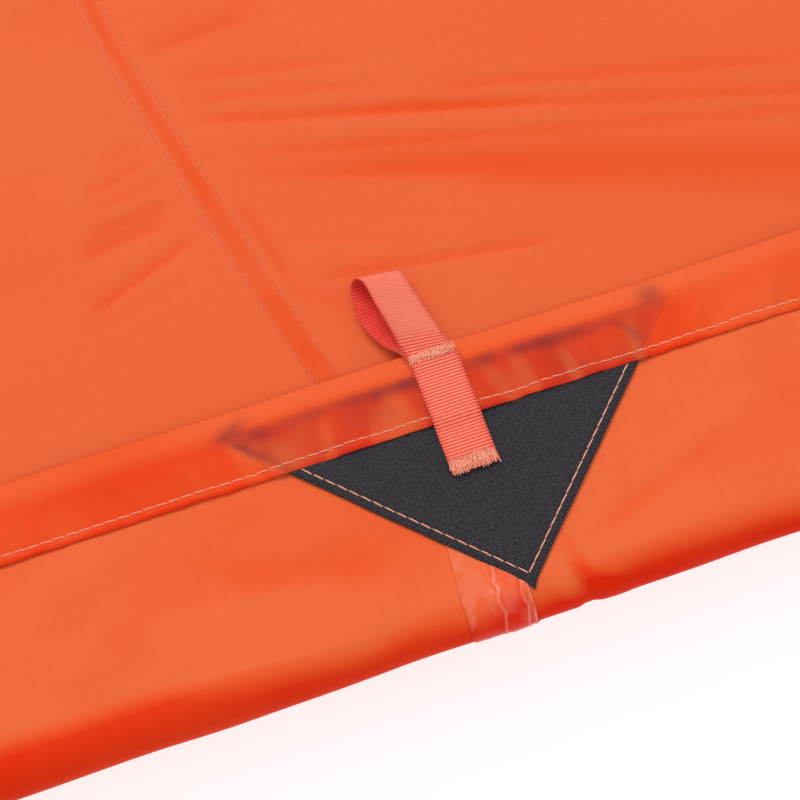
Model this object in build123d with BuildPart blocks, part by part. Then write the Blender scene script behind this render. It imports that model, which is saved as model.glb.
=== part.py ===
"""Bivy sack laid out flat, its mouth turned back outward as a cuff.

Millimetres, +Z up.  The mouth is toward -Y and the foot toward +Y; the ground is z = 0.
The bag is a tapered tube of ripstop cloth: a top panel between two felled seams and a
bathtub panel that makes the floor, the sides, the foot and a margin of the top.
"""
import os
from math import cos, hypot, radians, sin, sqrt

from build123d import *

os.makedirs("parts", exist_ok=True)

# ---- the bag, laid flat --------------------------------------------------------------
bag_length = 2020.0      # front fold to foot
mouth_half = 440.0       # half width at the front fold
foot_half = 245.0        # half width at the foot
mouth_height = 42.0      # top of the bag over the ground at the front fold
foot_height = 14.0       # top of the bag over the ground at the foot
corner_share = 0.35      # bevel of the long edges, as a share of the height
cloth = 0.5              # panel cloth
lean = 0.8               # how far the lower lip sits back, per mm of height

# ---- the turned-back cuff ------------------------------------------------------------
cuff_depth = 71.5        # front fold to mouth edge
fold_rise = 12.0         # cuff's outer face over the bag's top, at the fold
edge_clear = 0.45        # air between the seam's stitching and the cuff's mouth edge
edge_flare = 17.0        # cuff's outer face beyond the bag's side, at the mouth edge
hem_depth = 20.0         # hem turned to the inside of the cloth
hem_clear = 0.1          # air between the patch and the hem over it
hem_ply = 0.5
ply_gap = 0.3            # air between cuff and floor under the bag
floor_trim = 0.02        # taken off the floor's under face to lie flat on the ground
thread = 0.25            # rows of stitching, height
thread_width = 0.8
topstitch_in = 17.7      # hem topstitch from the mouth edge

# ---- felled seams and their tape -----------------------------------------------------
fell_width = 9.0
fell_ply = 0.5
needle_gauge = 6.4       # between the two needle lines
tape_width = 20.0
tape_ply = 0.2
seam_mouth = 267.0       # seam from the centre line at the mouth edge of the cuff
seam_fold = 261.0        # at the front fold
foot_margin = 70.0       # tub wraps this far onto the top at the foot
seam_line = ((72.0, 235.5), (190.0, 216.5), (330.0, 200.0),   # back from the fold, out
             (bag_length - foot_margin, 112.0))
fell_start = 14.0        # fells begin behind the roll of the fold

# ---- corner patches ------------------------------------------------------------------
patch_width = 124.0
patch_drop = 62.5        # top side to apex
patch_in = 5.5           # top side from the mouth edge
tape_clear = 0.05        # air between the cuff's tape and the patch over it
patch_ply = 0.5
patch_stitch_in = 2.4    # stitching from the patch's edges

# ---- ribbon hang loops ---------------------------------------------------------------
ribbon = 12.0            # width
ribbon_ply = 0.5
ribbon_shift = -2.8      # from the patch's axis
leg_length = 34.5        # sewn leg, from the mouth edge
leg_end = 1.2            # leg stops this far short of the mouth edge
tack_length = 3.0
tack_ply = 0.4
hinge_out = 0.6          # loop bends this far beyond the mouth edge
loop_start = 1.0         # free loop begins this far beyond its bend line
loop_reach = 27.0        # bend line to the far end of the loop
loop_half = 4.6          # half height of the loop's round end
loop_neck = 3.0          # plies lie together up to here
loop_yaw = 12.0          # swings toward the centre line
loop_pitch = 12.0        # rises from level

# ---- worked out from the above -------------------------------------------------------
roll = (fold_rise + cloth) / 2            # radius of the front fold, outer face
roll_low = (ply_gap + 2 * cloth) / 2      # the same under the bag
slant = sqrt(1 + lean * lean)
edge_rise = cloth + fell_ply + thread + edge_clear    # cuff's outer face over the bag's top
patch_off = tape_ply + tape_clear
patch_top = patch_off + patch_ply
nose = radians(15)                        # foremost facet of the fold
y_base = -bag_length / 2 - (roll - (roll + tape_ply) * cos(nose))
q_foot = bag_length / 2 - y_base - lean * mouth_height
q_edge = cuff_depth + lean * edge_rise
bevel_grow = 2 - sqrt(2)                  # keeps bevels parallel between plies
patch_x = seam_mouth
loop_x = patch_x + ribbon_shift


def between(q, q0, v0, q1, v1):
    """A value that changes evenly from v0 at q0 to v1 at q1."""
    return v0 + (v1 - v0) * (q - q0) / (q1 - q0)


# the bag's upper face and the cuff's upper face, as lines in the middle plane
top_run = (q_foot - lean * (foot_height - mouth_height), foot_height - mouth_height)
q_roll = roll + lean * fold_rise
edge_top = between(q_edge, 0, mouth_height, q_foot, foot_height) + edge_rise
roll_top = between(q_roll, 0, mouth_height, q_foot, foot_height) + fold_rise
edge_y = y_base + q_edge - lean * (edge_top - mouth_height)
roll_y = y_base + q_roll - lean * (roll_top - mouth_height)
cuff_run = hypot(edge_y - roll_y, edge_top - roll_top)
cuff_dir = (0, (edge_y - roll_y) / cuff_run, (edge_top - roll_top) / cuff_run)
cuff_normal = (0, -cuff_dir[2], cuff_dir[1])
q_per_mm = (q_edge - q_roll) / cuff_run   # mouth planes passed per mm down the cuff
square = cuff_normal[2] - lean * cuff_normal[1]   # a ply's true thickness on the cuff's top
hem_off = (patch_top + hem_clear) / square        # hem's under face over the cuff
hem_out = hem_off + hem_ply
hem_top = hem_out * square
floor_lift = ply_gap + cloth + hem_out
top_plane = Plane(origin=(0, y_base, mouth_height), x_dir=(1, 0, 0),
                  z_dir=(0, -top_run[1], top_run[0]))


def floor_at(q):
    """Height of the floor's under face: lifted over the cuff, then on the ground."""
    if q <= q_edge + 15:
        return floor_lift
    return max(-floor_trim, between(q, q_edge + 15, floor_lift, q_edge + 45, -floor_trim))


def mouth_plane(q):
    """A plane parallel to the mouth, q behind the front fold at the bag's top."""
    origin = (0, y_base + q + lean * mouth_height, 0)
    return Plane(origin=origin, x_dir=(1, 0, 0), z_dir=(0, -1, -lean))


def girth(q, top_rise, side_rise, drop):
    """Eight-sided girth of the bag on one mouth plane, grown by the given rises."""
    half = between(q, 0, mouth_half, q_foot, foot_half) + side_rise
    top = between(q, 0, mouth_height, q_foot, foot_height)
    bevel = corner_share * top + bevel_grow * top_rise
    low = (floor_at(q) - drop) * slant
    high = (top + top_rise) * slant
    cut = bevel * slant
    right = [(half - bevel, low), (half, low + cut), (half, high - cut), (half - bevel, high)]
    left = [(-x, z) for x, z in reversed(right)]
    with BuildSketch(mouth_plane(q)) as face:
        with BuildLine():
            Polyline(*right, *left, close=True)
        make_face()
    return face.sketch


def roll_girth(angle, off):
    """Girth on the rolled front fold, off outside the cloth's inside face."""
    a = radians(angle)
    rise = roll - cloth + (roll + off) * sin(a)
    back = roll - (roll + off) * cos(a)
    drop = roll_low - cloth + (roll_low + off) * sin(a)
    return girth(back + lean * rise, rise, rise, drop)


def cuff_girth(q, off):
    """Girth of the flat part of the cuff, off outside its face."""
    q_roll = roll + lean * fold_rise
    top = between(q, q_roll, fold_rise, q_edge, edge_rise) + off
    side = between(q, q_roll, fold_rise, q_edge, edge_flare) + off
    return girth(q, top, side, ply_gap + cloth + off)


def cuff_skin(off, q_end):
    """Girths of the fold and the cuff from the front back to q_end."""
    return [roll_girth(a, off) for a in (-50, -15, 15, 50, 90)] + [cuff_girth(q_end, off)]


def bag_skin(off, q_end):
    """Girths of the bag from the front fold to q_end, off inside the inner face."""
    rise = -cloth - off
    steps = (q_edge + 15, q_edge + 45, q_end)
    return [roll_girth(a, off) for a in (-50, -90)] + [girth(q, rise, rise, rise) for q in steps]


def plan_zone(outline, low, high):
    """A prism standing on an outline drawn in plan."""
    with BuildPart() as zone:
        with BuildSketch(Plane.XY.offset(low)):
            with BuildLine():
                Polyline(*outline, close=True)
            make_face()
        extrude(amount=high - low)
    return zone.part


def both_sides(line):
    """Outline symmetrical about the centre line, from (back, out) points."""
    right = [(x, y_base + d) for d, x in line]
    return right + [(-x, y) for x, y in reversed(right)]


def strip(line, width, side):
    """Outline of a strip along (back, out) points on one side of the bag."""
    near = [(side * (x - width / 2), y_base + d) for d, x in line]
    far = [(side * (x + width / 2), y_base + d) for d, x in reversed(line)]
    return near + far


mid_height = foot_height / 2
above = mouth_height + 3 * fold_rise
foot_seam = seam_line[-1][0]
bag_seam = ((-30.0, seam_fold), (0.0, seam_fold)) + seam_line
cuff_seam = ((-30.0, seam_fold), (0.0, seam_fold), (cuff_depth + 10.0, seam_mouth))
bag_top_zone = plan_zone(both_sides(bag_seam), mid_height, above)
cuff_top_zone = plan_zone(both_sides(cuff_seam), mouth_height / 2, above)

# ---- the two panels ------------------------------------------------------------------
with BuildPart() as turned_cuff:
    loft(cuff_skin(0, q_edge), ruled=True)
    loft(cuff_skin(-cloth, q_edge + 5), ruled=True, mode=Mode.SUBTRACT)
    loft([roll_girth(-50, 6 * cloth), roll_girth(-50, 0), roll_girth(-90, 0)],
         ruled=True, mode=Mode.SUBTRACT)

with BuildPart() as bag_wall:
    loft(bag_skin(-cloth, q_foot), ruled=True)
    loft([roll_girth(-50, 6 * cloth)] + bag_skin(0, q_foot - cloth * slant),
         ruled=True, mode=Mode.SUBTRACT)
    with BuildSketch(Plane.XY):
        Rectangle(3 * mouth_half, 2 * bag_length)
    extrude(amount=-10 * floor_trim, mode=Mode.SUBTRACT)

with BuildPart() as cuff_top_ply:
    add(turned_cuff.part)
    add(cuff_top_zone, mode=Mode.INTERSECT)

with BuildPart() as top_panel:
    add(bag_wall.part)
    add(bag_top_zone, mode=Mode.INTERSECT)
    add(cuff_top_ply.part)

with BuildPart() as cuff_side_ply:
    add(turned_cuff.part)
    add(cuff_top_zone, mode=Mode.SUBTRACT)

with BuildPart() as tub_panel:
    add(bag_wall.part)
    add(bag_top_zone, mode=Mode.SUBTRACT)
    add(cuff_side_ply.part)

# ---- the hem and its topstitch -------------------------------------------------------
q_hem = q_edge - (hem_depth - hem_off) * q_per_mm
q_stitch = q_edge - topstitch_in * q_per_mm

with BuildPart() as hem_topstitch:
    loft([cuff_girth(q, hem_out) for q in (q_stitch, q_stitch + thread_width)], ruled=True)
    loft([cuff_girth(q, hem_out - thread) for q in (q_stitch - 1, q_stitch + 2)],
         ruled=True, mode=Mode.SUBTRACT)

with BuildPart() as mouth_hem:
    loft([cuff_girth(q, hem_out) for q in (q_hem, q_edge)], ruled=True)
    loft([cuff_girth(q, hem_off) for q in (q_hem - 1, q_edge - cloth * slant)],
         ruled=True, mode=Mode.SUBTRACT)
    loft([cuff_girth(q, 0) for q in (q_hem - 2, q_edge + 2)], ruled=True, mode=Mode.SUBTRACT)
    add(hem_topstitch.part, mode=Mode.SUBTRACT)


# ---- seam fells, stitching and tape --------------------------------------------------
def at_distance(d):
    """Seam's distance from the centre line, d back from the front fold."""
    line = ((0.0, seam_fold),) + seam_line
    for (d0, x0), (d1, x1) in zip(line, line[1:]):
        if d <= d1:
            return between(d, d0, x0, d1, x1)
    return line[-1][1]


def top_strip(side, offset, width, start, end):
    """A strip on the bag's top along one side seam, offset outward from it."""
    stations = [start] + [d for d, _ in seam_line if start < d < end] + [end]
    near = [(side * (at_distance(d) + offset - width / 2), d) for d in stations]
    far = [(side * (at_distance(d) + offset + width / 2), d) for d in reversed(stations)]
    return near + far


tape_end = foot_seam - tape_width / 2 - ply_gap
fell_end = foot_seam + fell_width / 2

with BuildPart() as seam_fell_left:
    with BuildSketch(top_plane):
        with BuildLine():
            Polyline(*top_strip(-1, 0, fell_width, fell_start, fell_end), close=True)
        make_face()
    extrude(amount=fell_ply)

with BuildPart() as seam_fell_right:
    with BuildSketch(top_plane):
        with BuildLine():
            Polyline(*top_strip(1, 0, fell_width, fell_start, fell_end), close=True)
        make_face()
    extrude(amount=fell_ply)

with BuildPart() as seam_stitching_left:
    for row in (-needle_gauge / 2, needle_gauge / 2):
        with BuildSketch(top_plane.offset(fell_ply)):
            with BuildLine():
                Polyline(*top_strip(-1, row, thread_width, fell_start + 1, fell_end - 1), close=True)
            make_face()
    extrude(amount=thread)

with BuildPart() as seam_stitching_right:
    for row in (-needle_gauge / 2, needle_gauge / 2):
        with BuildSketch(top_plane.offset(fell_ply)):
            with BuildLine():
                Polyline(*top_strip(1, row, thread_width, fell_start + 1, fell_end - 1), close=True)
            make_face()
    extrude(amount=thread)

with BuildPart() as cuff_tape_skin:
    loft(cuff_skin(tape_ply, q_edge - 1), ruled=True)
    loft(cuff_skin(0, q_edge), ruled=True, mode=Mode.SUBTRACT)
    loft([roll_girth(-50, 6 * cloth), roll_girth(-50, tape_ply), roll_girth(-90, tape_ply)],
         ruled=True, mode=Mode.SUBTRACT)

with BuildPart() as bag_tape_skin:
    loft(bag_skin(0, q_foot - 2), ruled=True)
    loft([roll_girth(-50, 6 * cloth)] + bag_skin(tape_ply, q_foot), ruled=True,
         mode=Mode.SUBTRACT)

tape_run = tuple(p for p in bag_seam if p[0] < tape_end) + ((tape_end, at_distance(tape_end)),)

with BuildPart() as cuff_tape_left:
    add(cuff_tape_skin.part)
    add(plan_zone(strip(cuff_seam, tape_width, -1), mouth_height / 2, above), mode=Mode.INTERSECT)

with BuildPart() as seam_tape_left:
    add(bag_tape_skin.part)
    add(plan_zone(strip(tape_run, tape_width, -1), mid_height, above), mode=Mode.INTERSECT)
    add(cuff_tape_left.part)

with BuildPart() as cuff_tape_right:
    add(cuff_tape_skin.part)
    add(plan_zone(strip(cuff_seam, tape_width, 1), mouth_height / 2, above), mode=Mode.INTERSECT)

with BuildPart() as seam_tape_right:
    add(bag_tape_skin.part)
    add(plan_zone(strip(tape_run, tape_width, 1), mid_height, above), mode=Mode.INTERSECT)
    add(cuff_tape_right.part)

# ---- the seam across the foot --------------------------------------------------------
foot_out = seam_line[-1][1]
foot_fell_half = foot_out - fell_width / 2 - ply_gap

with BuildPart() as foot_fell:
    with BuildSketch(top_plane):
        with Locations((0, foot_seam)):
            Rectangle(2 * foot_fell_half, fell_width)
    extrude(amount=fell_ply)

with BuildPart() as foot_stitching:
    with BuildSketch(top_plane.offset(fell_ply)):
        with Locations((0, foot_seam - needle_gauge / 2), (0, foot_seam + needle_gauge / 2)):
            Rectangle(2 * foot_fell_half - 2, thread_width)
    extrude(amount=thread)

with BuildPart() as foot_seam_tape:
    with BuildSketch(top_plane.offset(-cloth)):
        with Locations((0, foot_seam)):
            Rectangle(2 * foot_out + tape_width, tape_width)
    extrude(amount=-tape_ply)


# ---- corner patches, tucked under the hem --------------------------------------------
def cuff_plane(side, off):
    """Work plane on the cuff: origin where the patch's axis meets the mouth edge."""
    lift = Vector(*cuff_normal) * off
    origin = Vector(side * patch_x, edge_y, edge_top) + lift
    return Plane(origin=origin, x_dir=(1, 0, 0), z_dir=cuff_normal)


half_patch = patch_width / 2
patch_outline = ((-half_patch, -patch_in), (half_patch, -patch_in), (0, -patch_in - patch_drop))
edge_slope = patch_drop / half_patch
stitch_shift = patch_stitch_in * sqrt(1 + edge_slope * edge_slope)
row_shift = thread_width * sqrt(1 + edge_slope * edge_slope)


def stitch_vee():
    """One row of stitching inside the patch's two lower sides, clear of the hem."""
    outer_tip = -patch_in - patch_drop + stitch_shift
    inner_tip = outer_tip + row_shift
    start = -hem_depth - 2 * ply_gap
    outer_x = (start - outer_tip) / edge_slope
    inner_x = (start - inner_tip) / edge_slope
    return ((-outer_x, start), (0, outer_tip), (outer_x, start), (inner_x, start),
            (0, inner_tip), (-inner_x, start))


with BuildPart() as corner_patch_left:
    with BuildSketch(cuff_plane(-1, patch_off)):
        with BuildLine():
            Polyline(*patch_outline, close=True)
        make_face()
    extrude(amount=patch_ply)

with BuildPart() as corner_patch_right:
    with BuildSketch(cuff_plane(1, patch_off)):
        with BuildLine():
            Polyline(*patch_outline, close=True)
        make_face()
    extrude(amount=patch_ply)

with BuildPart() as patch_stitching_left:
    with BuildSketch(cuff_plane(-1, patch_off + patch_ply)):
        with BuildLine():
            Polyline(*stitch_vee(), close=True)
        make_face()
    extrude(amount=thread)

with BuildPart() as patch_stitching_right:
    with BuildSketch(cuff_plane(1, patch_off + patch_ply)):
        with BuildLine():
            Polyline(*stitch_vee(), close=True)
        make_face()
    extrude(amount=thread)


# ---- ribbon hang loops ---------------------------------------------------------------
leg_ply = 2 * ribbon_ply


def side_plane(side):
    """Profile plane of the sewn leg: back along the cuff, up off its face."""
    origin = (side * loop_x, edge_y, edge_top)
    return Plane(origin=origin, x_dir=cuff_dir, z_dir=(1, 0, 0))


def leg_profile():
    """Two plies lying on the hem and stepping down onto the patch."""
    under = ((-leg_length, patch_top), (-hem_depth - 4.0, patch_top),
             (-hem_depth - 2 * ply_gap, hem_top), (-leg_end, hem_top))
    over = [(x - 0.3 * leg_ply, z + leg_ply) for x, z in reversed(under[1:3])]
    return under + ((-leg_end, hem_top + leg_ply), *over, (-leg_length, patch_top + leg_ply))


hinge_up = hem_top + ribbon_ply
hinge_y = edge_y + hinge_out * cuff_dir[1] + hinge_up * cuff_normal[1]
hinge_z = edge_top + hinge_out * cuff_dir[2] + hinge_up * cuff_normal[2]


def loop_plane(side):
    """Profile plane of the free loop, swung toward the centre line and lifted."""
    yaw, pitch = radians(side * loop_yaw), radians(loop_pitch)
    along = (-sin(yaw) * cos(pitch), cos(yaw) * cos(pitch), sin(pitch))
    return Plane(origin=(side * loop_x, hinge_y, hinge_z), x_dir=along,
                 z_dir=(cos(yaw), sin(yaw), 0))


round_at = loop_reach - 1.1 * loop_half
inner_half = loop_half - 1.02 * ribbon_ply

with BuildPart() as loop_leg_left:
    with BuildSketch(side_plane(-1)):
        with BuildLine():
            Polyline(*leg_profile(), close=True)
        make_face()
    extrude(amount=ribbon / 2, both=True)

with BuildPart() as loop_leg_right:
    with BuildSketch(side_plane(1)):
        with BuildLine():
            Polyline(*leg_profile(), close=True)
        make_face()
    extrude(amount=ribbon / 2, both=True)

with BuildPart() as hang_loop_left:
    with BuildSketch(loop_plane(-1)):
        with BuildLine():
            Polyline((round_at, loop_half), (loop_neck, ribbon_ply), (loop_start, ribbon_ply),
                     (loop_start, -ribbon_ply), (loop_neck, -ribbon_ply), (round_at, -loop_half))
            ThreePointArc((round_at, -loop_half), (loop_reach, 0), (round_at, loop_half))
        make_face()
        with BuildLine():
            Polyline((round_at, inner_half), (loop_neck + 0.1, 0), (round_at, -inner_half))
            ThreePointArc((round_at, -inner_half), (loop_reach - ribbon_ply, 0),
                          (round_at, inner_half))
        make_face(mode=Mode.SUBTRACT)
    extrude(amount=ribbon / 2, both=True)

with BuildPart() as hang_loop_right:
    with BuildSketch(loop_plane(1)):
        with BuildLine():
            Polyline((round_at, loop_half), (loop_neck, ribbon_ply), (loop_start, ribbon_ply),
                     (loop_start, -ribbon_ply), (loop_neck, -ribbon_ply), (round_at, -loop_half))
            ThreePointArc((round_at, -loop_half), (loop_reach, 0), (round_at, loop_half))
        make_face()
        with BuildLine():
            Polyline((round_at, inner_half), (loop_neck + 0.1, 0), (round_at, -inner_half))
            ThreePointArc((round_at, -inner_half), (loop_reach - ribbon_ply, 0),
                          (round_at, inner_half))
        make_face(mode=Mode.SUBTRACT)
    extrude(amount=ribbon / 2, both=True)


# ---- bar tacks -----------------------------------------------------------------------
def tack_plane(side, off):
    """Work plane over the leg: origin where the leg's axis meets the mouth edge."""
    base = cuff_plane(side, off)
    return Plane(origin=base.origin + Vector(side * loop_x - side * patch_x, 0, 0),
                 x_dir=(1, 0, 0), z_dir=cuff_normal)


edge_tack_at = -leg_end - 0.4 - tack_length / 2
end_tack_at = -leg_length + 0.6 + tack_length / 2

with BuildPart() as edge_bar_tack_left:
    with BuildSketch(tack_plane(-1, hem_top + leg_ply)):
        with Locations((0, edge_tack_at)):
            Rectangle(ribbon, tack_length)
    extrude(amount=tack_ply)

with BuildPart() as edge_bar_tack_right:
    with BuildSketch(tack_plane(1, hem_top + leg_ply)):
        with Locations((0, edge_tack_at)):
            Rectangle(ribbon, tack_length)
    extrude(amount=tack_ply)

with BuildPart() as end_bar_tack_left:
    with BuildSketch(tack_plane(-1, patch_top + leg_ply)):
        with Locations((0, end_tack_at)):
            Rectangle(ribbon, tack_length)
    extrude(amount=tack_ply)

with BuildPart() as end_bar_tack_right:
    with BuildSketch(tack_plane(1, patch_top + leg_ply)):
        with Locations((0, end_tack_at)):
            Rectangle(ribbon, tack_length)
    extrude(amount=tack_ply)

# ---- labels and files ----------------------------------------------------------------
top_panel.part.label = "top_panel"
tub_panel.part.label = "tub_panel"
mouth_hem.part.label = "mouth_hem"
hem_topstitch.part.label = "hem_topstitch"
seam_fell_left.part.label = "seam_fell_left"
seam_fell_right.part.label = "seam_fell_right"
seam_stitching_left.part.label = "seam_stitching_left"
seam_stitching_right.part.label = "seam_stitching_right"
seam_tape_left.part.label = "seam_tape_left"
seam_tape_right.part.label = "seam_tape_right"
foot_fell.part.label = "foot_fell"
foot_stitching.part.label = "foot_stitching"
foot_seam_tape.part.label = "foot_seam_tape"
corner_patch_left.part.label = "corner_patch_left"
corner_patch_right.part.label = "corner_patch_right"
patch_stitching_left.part.label = "patch_stitching_left"
patch_stitching_right.part.label = "patch_stitching_right"
loop_leg_left.part.label = "loop_leg_left"
loop_leg_right.part.label = "loop_leg_right"
hang_loop_left.part.label = "hang_loop_left"
hang_loop_right.part.label = "hang_loop_right"
edge_bar_tack_left.part.label = "edge_bar_tack_left"
edge_bar_tack_right.part.label = "edge_bar_tack_right"
end_bar_tack_left.part.label = "end_bar_tack_left"
end_bar_tack_right.part.label = "end_bar_tack_right"

export_step(top_panel.part, "parts/top_panel.step")
export_step(tub_panel.part, "parts/tub_panel.step")
export_step(mouth_hem.part, "parts/mouth_hem.step")
export_step(hem_topstitch.part, "parts/hem_topstitch.step")
export_step(seam_fell_left.part, "parts/seam_fell_left.step")
export_step(seam_fell_right.part, "parts/seam_fell_right.step")
export_step(seam_stitching_left.part, "parts/seam_stitching_left.step")
export_step(seam_stitching_right.part, "parts/seam_stitching_right.step")
export_step(seam_tape_left.part, "parts/seam_tape_left.step")
export_step(seam_tape_right.part, "parts/seam_tape_right.step")
export_step(foot_fell.part, "parts/foot_fell.step")
export_step(foot_stitching.part, "parts/foot_stitching.step")
export_step(foot_seam_tape.part, "parts/foot_seam_tape.step")
export_step(corner_patch_left.part, "parts/corner_patch_left.step")
export_step(corner_patch_right.part, "parts/corner_patch_right.step")
export_step(patch_stitching_left.part, "parts/patch_stitching_left.step")
export_step(patch_stitching_right.part, "parts/patch_stitching_right.step")
export_step(loop_leg_left.part, "parts/loop_leg_left.step")
export_step(loop_leg_right.part, "parts/loop_leg_right.step")
export_step(hang_loop_left.part, "parts/hang_loop_left.step")
export_step(hang_loop_right.part, "parts/hang_loop_right.step")
export_step(edge_bar_tack_left.part, "parts/edge_bar_tack_left.step")
export_step(edge_bar_tack_right.part, "parts/edge_bar_tack_right.step")
export_step(end_bar_tack_left.part, "parts/end_bar_tack_left.step")
export_step(end_bar_tack_right.part, "parts/end_bar_tack_right.step")
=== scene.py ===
"""Bivy sack laid out flat, its mouth turned back outward as a cuff.

Lengths inside the shape functions are millimetres; meshes are written in metres.  The mouth
is toward -Y, the foot toward +Y and the ground is z = 0.
"""
import math

import bpy
import numpy as np
from mathutils import Matrix, Vector


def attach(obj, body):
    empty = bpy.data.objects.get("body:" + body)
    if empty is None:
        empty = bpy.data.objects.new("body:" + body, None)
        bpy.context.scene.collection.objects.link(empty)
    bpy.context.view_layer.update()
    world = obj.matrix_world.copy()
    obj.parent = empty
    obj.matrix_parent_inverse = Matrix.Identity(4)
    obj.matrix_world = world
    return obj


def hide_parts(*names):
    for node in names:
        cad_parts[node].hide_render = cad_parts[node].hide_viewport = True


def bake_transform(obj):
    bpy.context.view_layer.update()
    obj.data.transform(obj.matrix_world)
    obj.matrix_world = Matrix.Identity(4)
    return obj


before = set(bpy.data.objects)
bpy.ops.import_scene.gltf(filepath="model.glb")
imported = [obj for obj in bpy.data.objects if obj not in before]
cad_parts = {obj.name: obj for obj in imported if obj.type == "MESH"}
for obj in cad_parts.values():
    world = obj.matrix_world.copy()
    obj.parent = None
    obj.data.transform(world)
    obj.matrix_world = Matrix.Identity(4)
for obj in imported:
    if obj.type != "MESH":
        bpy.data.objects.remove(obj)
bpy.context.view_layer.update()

bl_info = {
    "name": "Bivy Sack",
    "version": (1, 0, 0),
    "blender": (4, 5, 0),
    "location": "View3D > Sidebar > Bivy Sack",
    "description": "Builds a laid-out bivy sack with its cuff, hem, patches and hang loops",
    "category": "Add Mesh",
}

MM = 0.001

# ---- sizes that tie the pieces to the frame, in millimetres --------------------------
BAG_LENGTH = 2020.0
MOUTH_HALF, FOOT_HALF = 440.0, 245.0
MOUTH_HEIGHT, FOOT_HEIGHT = 42.0, 14.0
LEAN = 0.8
CLOTH = 0.5
CUFF_DEPTH = 71.5
FOLD_RISE = 12.0
FOLD_OUT = 2.6
EDGE_RISE = 1.7
EDGE_FLARE = 17.0
HEM_DEPTH = 20.0
PLY_GAP = 0.3
FLOOR_LIFT = 2.3
SEAM_MOUTH, SEAM_FOLD = 267.0, 261.0
SEAM_BACK = np.array([-48.0, 82.0, 190.0, 330.0, 1950.0])
SEAM_OUT = np.array([278.0, 234.0, 209.5, 195.0, 112.0])
FOOT_SEAM = 1950.0
NEEDLE_GAUGE = 6.4
TAPE_WIDTH = 17.0
TAPE_SHIFT = -3.6
PATCH_WIDTH, PATCH_DROP, PATCH_IN = 124.0, 62.5, 5.5
PATCH_TIP = PATCH_IN + PATCH_DROP
PATCH_SLOPE = PATCH_DROP / (PATCH_WIDTH / 2)
RIBBON = 12.4
RIBBON_SHIFT = -2.8
LEG_LENGTH = 34.5
STITCH_IN = 17.7

ROLL = (FOLD_RISE + CLOTH) / 2
ROLL_LOW = (PLY_GAP + 2 * CLOTH) / 2
Y_FRONT = -BAG_LENGTH / 2
Y_BASE = Y_FRONT - 0.02
Q_FOOT = BAG_LENGTH / 2 - Y_BASE - LEAN * MOUTH_HEIGHT
Q_EDGE = CUFF_DEPTH + LEAN * EDGE_RISE
Q_ROLL = ROLL + LEAN * FOLD_RISE
MID = -CLOTH / 2


def half_at(q):
    return MOUTH_HALF + (FOOT_HALF - MOUTH_HALF) * q / Q_FOOT


def top_at(q):
    return MOUTH_HEIGHT + (FOOT_HEIGHT - MOUTH_HEIGHT) * q / Q_FOOT


def floor_at(q):
    return np.interp(q, [0, Q_EDGE + 15, Q_EDGE + 45, Q_FOOT], [FLOOR_LIFT, FLOOR_LIFT, 0.0, 0.0])


def seam_at(back):
    """Seam's distance from the centre line, eased between its points by a smooth curve."""
    knots = np.interp(back, SEAM_BACK, SEAM_OUT)
    soft = sum(np.interp(back + k * 12.0, SEAM_BACK, SEAM_OUT) for k in (-2, -1, 1, 2))
    return (knots + soft) / 5


EDGE_TOP = top_at(Q_EDGE) + EDGE_RISE
ROLL_TOP = top_at(Q_ROLL) + FOLD_RISE
EDGE_Y = Y_BASE + Q_EDGE - LEAN * (EDGE_TOP - MOUTH_HEIGHT)
ROLL_Y = Y_BASE + Q_ROLL - LEAN * (ROLL_TOP - MOUTH_HEIGHT)
CUFF_RUN = math.hypot(EDGE_Y - ROLL_Y, EDGE_TOP - ROLL_TOP)
CUFF_DIR = np.array([0.0, (EDGE_Y - ROLL_Y) / CUFF_RUN, (EDGE_TOP - ROLL_TOP) / CUFF_RUN])
CUFF_NORMAL = np.array([0.0, -CUFF_DIR[2], CUFF_DIR[1]])
ROLL_LENGTH = math.pi * (ROLL + MID)


# ---- noise and creases ---------------------------------------------------------------
def noise(x, y, size, seed):
    """Smooth value noise: random heights on a square lattice, eased between its corners."""
    table = np.random.default_rng(seed).uniform(-1.0, 1.0, (128, 128))
    gx, gy = x / size, y / size
    ix, iy = np.floor(gx).astype(int), np.floor(gy).astype(int)
    fx, fy = gx - ix, gy - iy
    fx, fy = fx * fx * fx * (fx * (fx * 6 - 15) + 10), fy * fy * fy * (fy * (fy * 6 - 15) + 10)
    a, b = table[ix % 128, iy % 128], table[(ix + 1) % 128, iy % 128]
    c, d = table[ix % 128, (iy + 1) % 128], table[(ix + 1) % 128, (iy + 1) % 128]
    return (a * (1 - fx) + b * fx) * (1 - fy) + (c * (1 - fx) + d * fx) * fy


def smooth(t):
    """Eases 0 to 1 with flat ends."""
    t = np.clip(t, 0.0, 1.0)
    return t * t * (3 - 2 * t)


def crease(x, y, x0, y0, x1, y1, width, height, bow=0.0):
    """A soft ridge or valley along a bowed line: a bell across it, faded at both ends."""
    length = math.hypot(x1 - x0, y1 - y0)
    ux, uy = (x1 - x0) / length, (y1 - y0) / length
    along = ((x - x0) * ux + (y - y0) * uy) / length
    across = -(x - x0) * uy + (y - y0) * ux - bow * (1 - (2 * along - 1) ** 2)
    fade = smooth(along / 0.18 + 0.35) * smooth((1.0 - along) / 0.4 + 0.1)
    skew = width * (1.0 + 0.45 * np.tanh(across / width))
    return height * fade * np.exp(-(across / skew) ** 2)


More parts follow.
